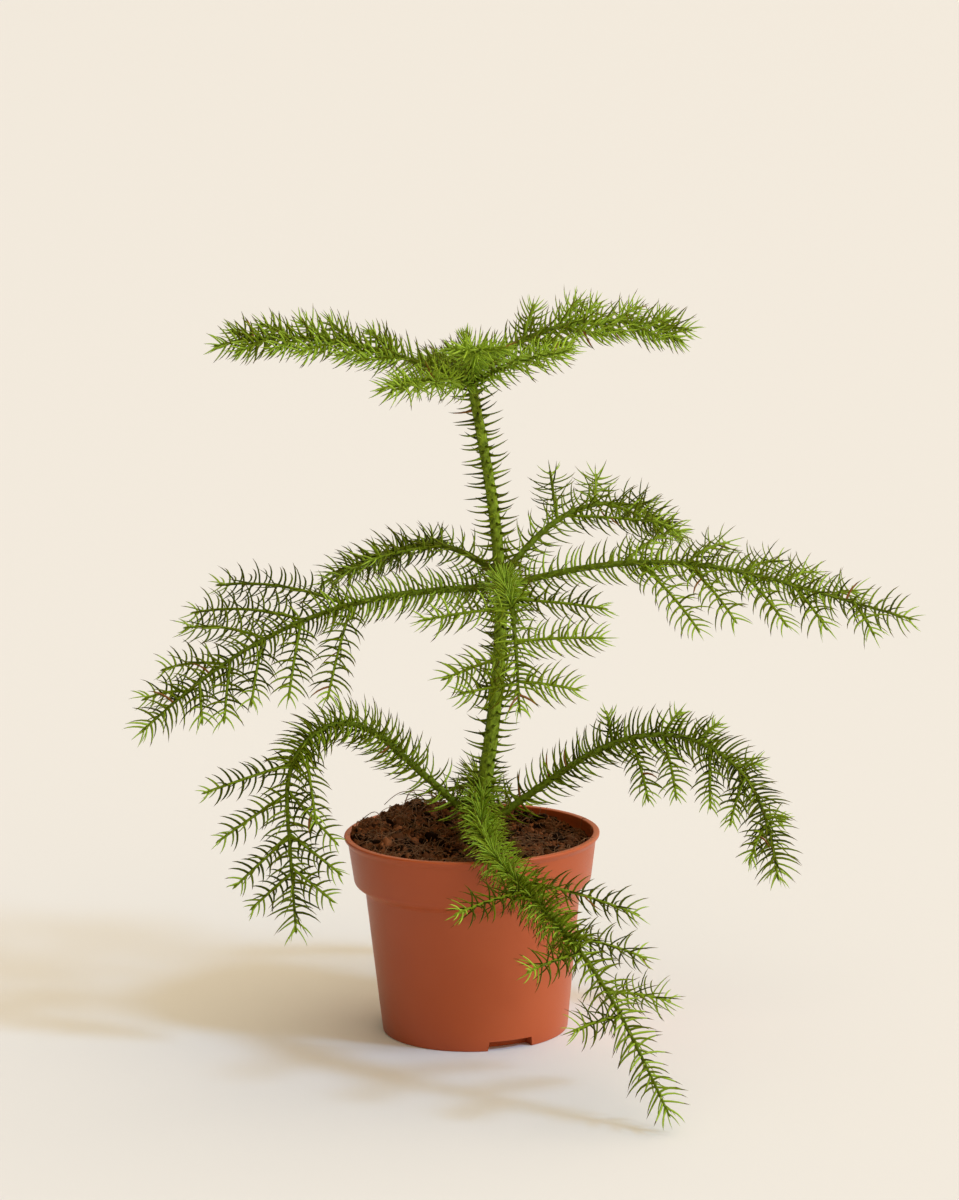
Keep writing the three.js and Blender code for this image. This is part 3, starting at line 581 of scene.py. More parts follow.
def needle_stations(limb, density, random):
    """Where needles stand along a limb, as shares of it, with how young each is from 0 to 1."""
    length = line_length(limb.line)
    bushy_from, bushy_to, closer = limb.bushy
    steps = np.linspace(min(limb.growth.bare, length), length, STATION_STEPS)
    bushy = (steps > bushy_from * length) & (steps < bushy_to * length)
    per_mm = limb.growth.per_mm * density * np.where(bushy, closer, 1)
    passed = np.append(0, np.cumsum(per_mm[1:] * np.diff(steps)))
    count = int(passed[-1])
    along = np.interp(np.arange(count) + random.uniform(*STATION_SCATTER, count), passed, steps)
    young = np.clip((along - length + TUFT_LENGTH) / TUFT_LENGTH, 0, 1)
    return along / length, young


def needle_outward(limb, share, tangent, random):
    """Which way each needle leaves the limb: round it in a spiral, drawn into two flat ranks."""
    across = point_at(limb.across, share)
    across = unit(across - tangent * (across * tangent).sum(1, keepdims=True))
    upright = np.cross(tangent, across)
    turn = GOLDEN_TURN * np.arange(len(share)) + random.normal(0, TURN_SCATTER, len(share))
    turn -= limb.growth.flat / 2 * np.sin(2 * turn)
    return across * np.cos(turn)[:, None] + upright * np.sin(turn)[:, None]


def needle_spines(limb, share, young, tangent, outward, scale, random):
    """Each needle's spine in even steps from its foot, and its lean from the limb at each step."""
    growth, count = limb.growth, len(share)
    scatter = 1 + random.uniform(*LENGTH_SCATTER, count)
    length = growth.length * scale * scatter * (1 - YOUNG_SHORTER * young)
    rising = RISE_TO_LIGHT * outward[:, 2] * (1 - np.abs(tangent[:, 2]))
    ends = []
    for lean, closer in zip(growth.lean, YOUNG_CLOSER):
        ends.append(lean * (1 - closer * young) + rising + random.normal(0, growth.unruly, count))
    lean_foot, lean_tip = ends
    steps = (np.arange(NEEDLE_STEPS) + 0.5) / NEEDLE_STEPS
    leans = (lean_foot[:, None] + (lean_tip - lean_foot)[:, None] * steps) * DEGREE
    stride = tangent[:, None] * np.cos(leans)[..., None] + outward[:, None] * np.sin(leans)[..., None]
    stride *= (length / NEEDLE_STEPS)[:, None, None]
    foot = point_at(limb.line, share) + outward * (limb.radius_at(share) - NEEDLE_SINK)[:, None]
    return np.concatenate([foot[:, None], foot[:, None] + np.cumsum(stride, axis=1)], axis=1), leans


def grow_needles(limb, settings):
    """The needles of a limb as an array of points, 21 for each, and their tints and points' tints."""
    random = np.random.default_rng(limb.seed)
    share, young = needle_stations(limb, settings.needle_density, random)
    tangent = tangent_at(limb.line, share)
    outward = needle_outward(limb, share, tangent, random)
    spine, leans = needle_spines(limb, share, young, tangent, outward, settings.needle_scale, random)
    heel_share = share - limb.growth.foot / line_length(limb.line)
    heel_radius = limb.radius_at(share) - 2 * NEEDLE_SINK
    heel = point_at(limb.line, heel_share) + outward * heel_radius[:, None]
    vary = 1 + random.uniform(-WIDTH_SCATTER, WIDTH_SCATTER, len(share))
    half = limb.growth.width / 2 * vary * (1 - YOUNG_NARROWER * young)
    corners = needle_skin(spine, heel, tangent, outward, leans, half, limb.growth.taper)
    clear = clear_of_pot(spine[:, 2:], NEEDLE_CLEARANCE).all(axis=1)
    tint = needle_tints(limb, share, young, random)
    tip = np.where(young > SOFT_POINT_FROM, tint, TIP)
    return corners[clear], tint[clear], tip[clear]


def needle_skin(spine, heel, tangent, outward, lean, half, tapers):
    """Five four-cornered rings and a point for each needle, the first ring lying along the limb."""
    wide = np.cross(tangent, outward)
    bends = np.concatenate([lean[:, :1], (lean[:, 1:] + lean[:, :-1]) / 2], axis=1)
    thin = outward[:, None] * np.cos(bends)[..., None] - tangent[:, None] * np.sin(bends)[..., None]
    rings = [ring_corners(heel, wide, outward, half * HEEL_SHARE)]
    for i, taper in enumerate(tapers):
        rings.append(ring_corners(spine[:, i], wide, thin[:, i], half * taper))
    return np.concatenate([*rings, spine[:, -1:]], axis=1)


def ring_corners(centre, wide, thin, half):
    across = wide * half[:, None] * NEEDLE_FLATNESS
    deep = thin * half[:, None]
    return np.stack([centre + across, centre - deep, centre - across, centre + deep], axis=1)


def needle_tints(limb, share, young, random):
    """The spray's tint, a tint deeper as painted shade past its share for that, and young at its tip, with
    some needles a tint off.
    """
    draw = random.uniform(0, 1, len(young))
    # Past that share the bough's own needles are a tint deeper, as painted shade of its outer stretch.
    tint = np.where(share < limb.fade, limb.tint, max(limb.tint - 1, DEEP))
    brighter = np.maximum(tint, np.minimum(tint + 1, YOUNG))
    tint = np.where(draw > BRIGHTER_ABOVE, brighter, tint)
    tint = np.where(draw < DEEPER_BELOW, np.maximum(tint - 1, DEEP), tint)
    tint[young > BRIGHT_FROM] = max(limb.tint, BRIGHT)
    tint[young > YOUNG_FROM] = YOUNG
    tint[(draw > DRY_BETWEEN[0]) & (draw < DRY_BETWEEN[1])] = DRY
    return tint


def needle_faces():
    """The triangles of one needle, and which of them are its point."""
    faces = [(2, 1, 0), (3, 2, 0)]
    rings = NEEDLE_STEPS + 1
    for ring in range(rings - 1):
        for corner in range(RING_CORNERS):
            a = RING_CORNERS * ring + corner
            b = RING_CORNERS * ring + (corner + 1) % RING_CORNERS
            faces += [(a, b, b + RING_CORNERS), (a, b + RING_CORNERS, a + RING_CORNERS)]
    last = RING_CORNERS * (rings - 1)
    at_point = len(faces)
    for corner in range(RING_CORNERS):
        faces.append((last + corner, last + (corner + 1) % RING_CORNERS, RING_CORNERS * rings))
    return np.array(faces), np.arange(len(faces)) >= at_point


def needles_piece(name, limbs, settings):
    """All needles of these limbs as one mesh, its tints as plain materials."""
    grown = [grow_needles(limb, settings) for limb in limbs]
    points = np.concatenate([one[0] for one in grown])
    tints = np.concatenate([one[1] for one in grown])
    tips = np.concatenate([one[2] for one in grown])
    faces, at_point = needle_faces()
    corners = points.shape[1]
    triangles = (faces + corners * np.arange(len(points))[:, None, None]).reshape(-1, 3)
    slots = np.where(at_point, tips[:, None], tints[:, None]).ravel()
    piece = mesh_from_arrays(name, points.reshape(-1, 3), triangles)
    for tint in NEEDLE_TINTS:
        piece.data.materials.append(needle_material(tint, settings))
    piece.data.polygons.foreach_set("material_index", slots.astype(np.int32))
    return piece


# Modelling helpers

def deselect_all():
    if bpy.context.object and bpy.context.object.mode != "OBJECT":
        bpy.ops.object.mode_set(mode="OBJECT")
    bpy.ops.object.select_all(action="DESELECT")


def select_only(piece):
    deselect_all()
    piece.select_set(True)
    bpy.context.view_layer.objects.active = piece


def named(piece, name):
    piece.name = name
    piece.data.name = name
    return piece


def mesh_from_arrays(name, points, faces):
    """A mesh of points in millimetres, shaded smooth."""
    deselect_all()
    mesh = bpy.data.meshes.new(name)
    mesh.from_pydata(points * MM, [], faces)
    piece = bpy.data.objects.new(name, mesh)
    bpy.context.scene.collection.objects.link(piece)
    mesh.shade_smooth()
    return piece


def apply_modifiers(piece):
    select_only(piece)
    for modifier in list(piece.modifiers):
        bpy.ops.object.modifier_apply(modifier=modifier.name)


def apply_place(piece):
    """Move the object's place into its mesh."""
    select_only(piece)
    bpy.ops.object.transform_apply(location=True, rotation=True, scale=True)


def add_displace(piece, name, texture_type, size, strength, middle=0.5, axis="NORMAL", **values):
    """A Displace modifier driven by a procedural texture of that grain size, both in metres."""
    texture = bpy.data.textures.new(name, texture_type)
    texture.noise_scale = size
    for key, value in values.items():
        setattr(texture, key, value)
    modifier = piece.modifiers.new(name, "DISPLACE")
    modifier.texture = texture
    modifier.texture_coords = "LOCAL"
    modifier.strength = strength
    modifier.mid_level = middle
    modifier.direction = axis


def place_piece(piece, slot, *nodes):
    """Let a finished piece ride with the plant, in place of its solids."""
    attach(piece, "root")
    if nodes:
        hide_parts(*nodes)


def select_edges(piece, test):
    """In edit mode, select the edges whose two ends both pass a test of their radius and height."""
    bpy.ops.mesh.select_mode(type="EDGE")
    bpy.ops.mesh.select_all(action="DESELECT")
    shape = bmesh.from_edit_mesh(piece.data)
    for edge in shape.edges:
        ends = [(math.hypot(v.co.x, v.co.y), v.co.z) for v in edge.verts]
        edge.select_set(all(test(radius / MM, height / MM) for radius, height in ends))
    shape.select_flush_mode()
    bmesh.update_edit_mesh(piece.data)


def limb_tubes(name, tubes, resolution):
    """Tubes along lines, given as points and radii in millimetres, drawn as one curve and made a mesh."""
    deselect_all()
    bpy.ops.curve.primitive_nurbs_path_add(location=(0, 0, 0))
    piece = named(bpy.context.object, name)
    curve = piece.data
    curve.splines.clear()
    for points, radii in tubes:
        spline = curve.splines.new("POLY")
        spline.points.add(len(points) - 1)
        homogeneous = np.column_stack([points * MM, np.ones(len(points))])
        spline.points.foreach_set("co", homogeneous.ravel())
        spline.points.foreach_set("radius", np.asarray(radii, float))
    curve.dimensions = "3D"
    curve.twist_mode = "MINIMUM"
    curve.bevel_depth = MM
    curve.bevel_resolution = resolution
    curve.use_fill_caps = True
    bpy.ops.object.convert(target="MESH")
    piece = named(bpy.context.object, name)
    bpy.ops.object.mode_set(mode="EDIT")
    bpy.ops.mesh.select_all(action="SELECT")
    bpy.ops.mesh.remove_doubles(threshold=WELD)
    bpy.ops.mesh.normals_make_consistent(inside=False)
    bpy.ops.object.mode_set(mode="OBJECT")
    bpy.ops.object.shade_smooth()
    return piece


def even_tube(limb, pitch, tip=0.0):
    """A limb's points and radii at an even pitch, with a rounded end past its tip."""
    steps = max(int(line_length(limb.line) / pitch), TUBE_STEPS_LEAST)
    shares = np.linspace(0, 1, steps + 1)
    points, radii = point_at(limb.line, shares), limb.radius_at(shares)
    if tip:
        end = points[-1] + tangent_at(limb.line, 1.0) * tip
        points = np.vstack([points, end])
        radii = np.append(radii, STEM_END_RADIUS)
    return points, radii


# Materials

MOTTLE_COLOURS = ("Colour A", "Colour B")
MOTTLE_VALUES = ("Cloud Size", "Grain Size", "Contrast", "Rough Low", "Rough High")
MOTTLE_OUTPUTS = {"Colour": "NodeSocketColor", "Roughness": "NodeSocketFloat", "Grain": "NodeSocketFloat"}
CLOUD_DETAIL = 5
GRAIN_DETAIL = 3
NOISE_MIDDLE = 0.5
GRAIN_RANGE = (0.3, 0.7)


def new_material(name):
    """A new material and its shader, or else the one of that name that was made before, and None."""
    found = bpy.data.materials.get(name)
    if found:
        return found, None
    material = bpy.data.materials.new(name)
    material.use_nodes = True
    return material, material.node_tree.nodes["Principled BSDF"]


def set_values(shader, **values):
    for name, value in values.items():
        shader.inputs[name.replace("_", " ")].default_value = value


def opaque(colour):
    return (*colour, 1)


def link(tree, source, target):
    tree.links.new(source, target)


def node(tree, kind, **values):
    made = tree.nodes.new(kind)
    for key, value in values.items():
        setattr(made, key, value)
    return made


def mottle_group():
    """A node group that clouds two colours into each other, with a fine grain for roughness and relief."""
    found = bpy.data.node_groups.get("Mottle")
    if found:
        return found
    group = bpy.data.node_groups.new("Mottle", "ShaderNodeTree")
    sockets = group.interface
    for name in MOTTLE_COLOURS:
        sockets.new_socket(name, in_out="INPUT", socket_type="NodeSocketColor")
    for name in MOTTLE_VALUES:
        sockets.new_socket(name, in_out="INPUT", socket_type="NodeSocketFloat")
    for name, kind in MOTTLE_OUTPUTS.items():
        sockets.new_socket(name, in_out="OUTPUT", socket_type=kind)
    enter = node(group, "NodeGroupInput")
    leave = node(group, "NodeGroupOutput")
    place = node(group, "ShaderNodeTexCoord")
    clouds = sized_noise(group, place, enter.outputs["Cloud Size"], CLOUD_DETAIL)
    grain = sized_noise(group, place, enter.outputs["Grain Size"], GRAIN_DETAIL)
    spread = node(group, "ShaderNodeMath", operation="MULTIPLY_ADD", use_clamp=True)
    centred = node(group, "ShaderNodeMath", operation="SUBTRACT")
    link(group, clouds.outputs["Fac"], centred.inputs[0])
    centred.inputs[1].default_value = NOISE_MIDDLE
    link(group, centred.outputs[0], spread.inputs[0])
    link(group, enter.outputs["Contrast"], spread.inputs[1])
    spread.inputs[2].default_value = NOISE_MIDDLE
    mix = node(group, "ShaderNodeMix", data_type="RGBA")
    link(group, spread.outputs[0], mix.inputs["Factor"])
    link(group, enter.outputs["Colour A"], mix.inputs["A"])
    link(group, enter.outputs["Colour B"], mix.inputs["B"])
    rough = node(group, "ShaderNodeMapRange")
    link(group, grain.outputs["Fac"], rough.inputs["Value"])
    rough.inputs["From Min"].default_value = GRAIN_RANGE[0]
    rough.inputs["From Max"].default_value = GRAIN_RANGE[1]
    link(group, enter.outputs["Rough Low"], rough.inputs["To Min"])
    link(group, enter.outputs["Rough High"], rough.inputs["To Max"])
    link(group, mix.outputs["Result"], leave.inputs["Colour"])
    link(group, rough.outputs["Result"], leave.inputs["Roughness"])
    link(group, grain.outputs["Fac"], leave.inputs["Grain"])
    return group


def sized_noise(tree, place, size_socket, detail):
    """Noise on Object coordinates whose grains have the given size in metres."""
    noise = node(tree, "ShaderNodeTexNoise")
    noise.inputs["Detail"].default_value = detail
    scale = node(tree, "ShaderNodeMath", operation="DIVIDE")
    scale.inputs[0].default_value = 1
    link(tree, size_socket, scale.inputs[1])
    link(tree, place.outputs["Object"], noise.inputs["Vector"])
    link(tree, scale.outputs[0], noise.inputs["Scale"])
    return noise


def mottled_material(name, colour_a, colour_b, cloud, grain, contrast, rough, relief, **values):
    """A material clouded and grained by the Mottle group."""
    material, shader = new_material(name)
    if shader is None:
        return material
    tree = material.node_tree
    mottle = node(tree, "ShaderNodeGroup", node_tree=mottle_group())
    for socket, colour in zip(MOTTLE_COLOURS, (colour_a, colour_b)):
        mottle.inputs[socket].default_value = opaque(colour)
    for socket, value in zip(MOTTLE_VALUES, (cloud, grain, contrast, *rough)):
        mottle.inputs[socket].default_value = value
    bump = node(tree, "ShaderNodeBump")
    bump.inputs["Strength"].default_value = relief
    bump.inputs["Distance"].default_value = grain
    link(tree, mottle.outputs["Grain"], bump.inputs["Height"])
    link(tree, mottle.outputs["Colour"], shader.inputs["Base Color"])
    link(tree, mottle.outputs["Roughness"], shader.inputs["Roughness"])
    link(tree, bump.outputs["Normal"], shader.inputs["Normal"])
    set_values(shader, **values)
    return material


def plain_material(name, colour, roughness, **values):
    """One plain colour, for the many small pieces that are dealt their tints."""
    material, shader = new_material(name)
    if shader:
        set_values(shader, Base_Color=opaque(colour), Roughness=roughness, **values)
    return material


def needle_material(tint, settings):
    colours = (settings.deep, settings.middle, settings.bright, settings.young, settings.fresh, settings.tip,
               settings.dry)
    colour = colours[NEEDLE_TINTS.index(tint)]
    sheen = BRIGHT_SHEEN if tint in BRIGHT_TINTS else DEEP_SHEEN
    return plain_material(tint, colour, NEEDLE_ROUGHNESS, Specular_IOR_Level=sheen)


# Operators

class PINE_OT_stage(bpy.types.Operator):
    """Lay the floor, set the key light, the light from all round and the camera"""

    bl_idname = "pine.set_stage"
    bl_label = "Stage"

    FLOOR_RADIUS = 40.0
    KEY_DIRECTION = (0.89, -0.455, 0.0)
    KEY_HEIGHT = 38 * DEGREE
    FILL_DIRECTION = (0.8, 0.0, 0.6)
    FILL_EDGES = (-0.4, 0.9)
    CAMERA_PLACE = (5.5, -1800, 528.5)
    CAMERA_PITCH = -10.2 * DEGREE
    CAMERA_ROLL = -1.0 * DEGREE
    PHOTO_HEIGHT = 1200
    FOCAL_PIXELS = 3938
    SENSOR = 36.0

    def execute(self, context):
        settings = context.scene.pine_stage
        context.scene.view_settings.view_transform = "Standard"
        self.lay_floor(settings)
        self.set_lights(context, settings)
        self.set_camera(context)
        return {"FINISHED"}

    def lay_floor(self, settings):
        deselect_all()
        bpy.ops.mesh.primitive_circle_add(vertices=96, radius=self.FLOOR_RADIUS, fill_type="NGON")
        floor = named(bpy.context.object, "studio_floor")
        paper = plain_material("studio_floor", settings.floor, roughness=0.9, Specular_IOR_Level=0.2)
        floor.data.materials.append(paper)

    def set_lights(self, context, settings):
        towards = Vector(self.KEY_DIRECTION).normalized() * math.cos(self.KEY_HEIGHT)
        towards.z = math.sin(self.KEY_HEIGHT)
        deselect_all()
        bpy.ops.object.light_add(type="SUN", location=towards)
        key = named(context.object, "key_light")
        key.rotation_euler = towards.to_track_quat("Z", "Y").to_euler()
        key.data.energy = settings.key
        key.data.angle = settings.softness
        key.data.color = settings.key_colour
        self.light_room(context, settings)

    def light_room(self, context, settings):
        """Light from the room, strongest from above on the right and none from low on the left."""
        world = context.scene.world or bpy.data.worlds.new("studio")
        context.scene.world = world
        world.use_nodes = True
        tree = world.node_tree
        background = tree.nodes["Background"]
        background.inputs["Color"].default_value = opaque(settings.fill_colour)
        place = node(tree, "ShaderNodeTexCoord")
        facing = node(tree, "ShaderNodeVectorMath", operation="DOT_PRODUCT")
        facing.inputs[1].default_value = self.FILL_DIRECTION
        strength = node(tree, "ShaderNodeMapRange", interpolation_type="SMOOTHSTEP")
        strength.inputs["From Min"].default_value = self.FILL_EDGES[0]
        strength.inputs["From Max"].default_value = self.FILL_EDGES[1]
        strength.inputs["To Max"].default_value = settings.fill
        link(tree, place.outputs["Generated"], facing.inputs[0])
        link(tree, facing.outputs["Value"], strength.inputs["Value"])
        link(tree, strength.outputs["Result"], background.inputs["Strength"])

    def set_camera(self, context):
        deselect_all()
        bpy.ops.object.camera_add(location=Vector(self.CAMERA_PLACE) * MM)
        camera = named(context.object, "photo_camera")
        pitch = Matrix.Rotation(math.pi / 2 + self.CAMERA_PITCH, 3, "X")
        roll = Matrix.Rotation(self.CAMERA_ROLL, 3, "Z")
        camera.rotation_euler = (pitch @ roll).to_euler()
        camera.data.sensor_width = self.SENSOR
        camera.data.lens = self.FOCAL_PIXELS / self.PHOTO_HEIGHT * self.SENSOR
        camera.data.clip_end = 4 * self.FLOOR_RADIUS
        context.scene.camera = camera


class PINE_OT_pot(bpy.types.Operator):
    """Draw the pot's wall up from a disc and back down inside, round its edges and cut its drain notches"""

    bl_idname = "pine.model_pot"
    bl_label = "Pot"

    WALL = 1.3
    SKIRT = 7.0
    NEAR = 0.01
    SHARP = 35 * DEGREE

    def profile(self):
        """The wall's rings after the foot, as radius and height: up outside, over the lip, down inside."""
        skirt_radius = FOOT_RADIUS + (BODY_TOP_RADIUS - FOOT_RADIUS) * self.SKIRT / LEDGE_Z
        return (
            (skirt_radius, self.SKIRT), (BODY_TOP_RADIUS, LEDGE_Z), (COLLAR_FOOT_RADIUS, COLLAR_FOOT_Z),
            (RIM_RADIUS - LIP_OVERHANG, LIP_Z), (RIM_RADIUS, POT_HEIGHT - LIP_NOSE), (RIM_RADIUS, POT_HEIGHT),
            (RIM_RADIUS - LIP_WIDTH, POT_HEIGHT), (RIM_RADIUS - LIP_WIDTH, LIP_Z),
            (COLLAR_FOOT_RADIUS - self.WALL, COLLAR_FOOT_Z), (BODY_TOP_RADIUS - self.WALL, LEDGE_Z),
            (FOOT_RADIUS - self.WALL, POT_FLOOR),
        )

    def execute(self, context):
        settings = context.scene.pine_pot
        pot = self.draw_wall(settings)
        self.round_edges(pot, settings)
        for i in range(NOTCH_COUNT):
            self.cut_notch(pot, (NOTCH_HEADING + 360 * i / NOTCH_COUNT) * DEGREE)
        select_only(pot)
        bpy.ops.object.shade_smooth_by_angle(angle=self.SHARP)
        pot.data.materials.append(pot_material(settings))
        place_piece(pot, "pot_plastic", "pot")
        return {"FINISHED"}

    def draw_wall(self, settings):
        deselect_all()
        bpy.ops.mesh.primitive_circle_add(vertices=settings.segments, radius=FOOT_RADIUS * MM,
                                          fill_type="NGON")
        pot = named(bpy.context.object, "pot_shell")
        bpy.ops.object.mode_set(mode="EDIT")
        bpy.ops.mesh.select_all(action="SELECT")
        radius, height = FOOT_RADIUS, 0
        for next_radius, next_height in self.profile():
            rise = (next_height - height) * MM
            bpy.ops.mesh.extrude_region_move(TRANSFORM_OT_translate={"value": (0, 0, rise)})
            wider = next_radius / radius
            bpy.ops.transform.resize(value=(wider, wider, 1), center_override=(0, 0, next_height * MM))
            radius, height = next_radius, next_height
        bpy.ops.mesh.select_all(action="SELECT")
        bpy.ops.mesh.normals_make_consistent(inside=False)
        bpy.ops.object.mode_set(mode="OBJECT")
        return pot

    def round_edges(self, pot, settings):
        select_only(pot)
        bpy.ops.object.mode_set(mode="EDIT")
        bends = (LEDGE_Z, COLLAR_FOOT_Z)
        select_edges(pot, lambda radius, height: min(abs(height - bend) for bend in bends) < self.NEAR)
        bpy.ops.mesh.bevel(offset=settings.ledge_round, segments=5, affect="EDGES")
        select_edges(pot, lambda radius, height: radius > COLLAR_FOOT_RADIUS and height > LIP_Z - self.NEAR)
        bpy.ops.mesh.bevel(offset=settings.edge_round, segments=4, affect="EDGES")
        select_edges(pot, lambda radius, height: abs(radius - FOOT_RADIUS) < self.NEAR)
        bpy.ops.mesh.bevel(offset=settings.edge_round, segments=3, affect="EDGES")
        bpy.ops.object.mode_set(mode="OBJECT")

    def cut_notch(self, pot, heading):
        deselect_all()
        outward = Vector((math.cos(heading), math.sin(heading), 0))
        bpy.ops.mesh.primitive_cube_add(size=1, location=outward * FOOT_RADIUS * MM, rotation=(0, 0, heading),
                                        scale=(2 * NOTCH_DEPTH * MM, NOTCH_WIDTH * MM, 2 * NOTCH_HEIGHT * MM))
        cutter = bpy.context.object
        apply_place(cutter)
        bpy.ops.object.mode_set(mode="EDIT")
        select_edges(cutter, lambda radius, height: height > 0)
        along = Matrix.Rotation(heading, 3, "Z")
        bpy.ops.transform.resize(value=(1, NOTCH_TOP_SHARE, 1), orient_type="GLOBAL", orient_matrix=along,
                                 center_override=outward * FOOT_RADIUS * MM)
        bpy.ops.object.mode_set(mode="OBJECT")
        cut = pot.modifiers.new("drain notch", "BOOLEAN")
        cut.operation = "DIFFERENCE"
        cut.object = cutter
        apply_modifiers(pot)
        bpy.data.objects.remove(cutter)


def pot_material(settings):
    """Moulded plastic: faintly cloudy, with a fine grain."""
    return mottled_material("moulded_terracotta", settings.plastic, settings.plastic_pale, cloud=35 * MM,
                            grain=0.6 * MM, contrast=1.6, rough=(0.36, 0.46), relief=0.05,
                            Specular_IOR_Level=0.32)


def soil_height(x, y):
    bank = SOIL_BANK_HEADING * DEGREE
    towards = (x * math.cos(bank) + y * math.sin(bank)) / RIM_RADIUS
    lumps = SOIL_LUMP * np.sin(x * SOIL_LUMP_TURN) * np.cos(y * SOIL_LUMP_TURN)
    mound = MOUND_HEIGHT * np.exp(-np.hypot(x - MOUND_PLACE[0], y - MOUND_PLACE[1]) ** 2 / MOUND_RADIUS ** 2)
    open_height = SOIL_LEVEL + SOIL_BANK * towards + lumps + mound
    seat = ease(np.hypot(x - TRUNK_FOOT_X, y) / SEAT_RADIUS - 1)
    return SOIL_Z + (open_height - SOIL_Z) * seat


def inner_radius(z):
    """The pot's inside radius at a height."""
    heights = (POT_FLOOR, LEDGE_Z, COLLAR_FOOT_Z, LIP_Z)
    wall = PINE_OT_pot.WALL
    radii = (FOOT_RADIUS - wall, BODY_TOP_RADIUS - wall, COLLAR_FOOT_RADIUS - wall, RIM_RADIUS - LIP_WIDTH)
    return np.interp(z, heights, radii)


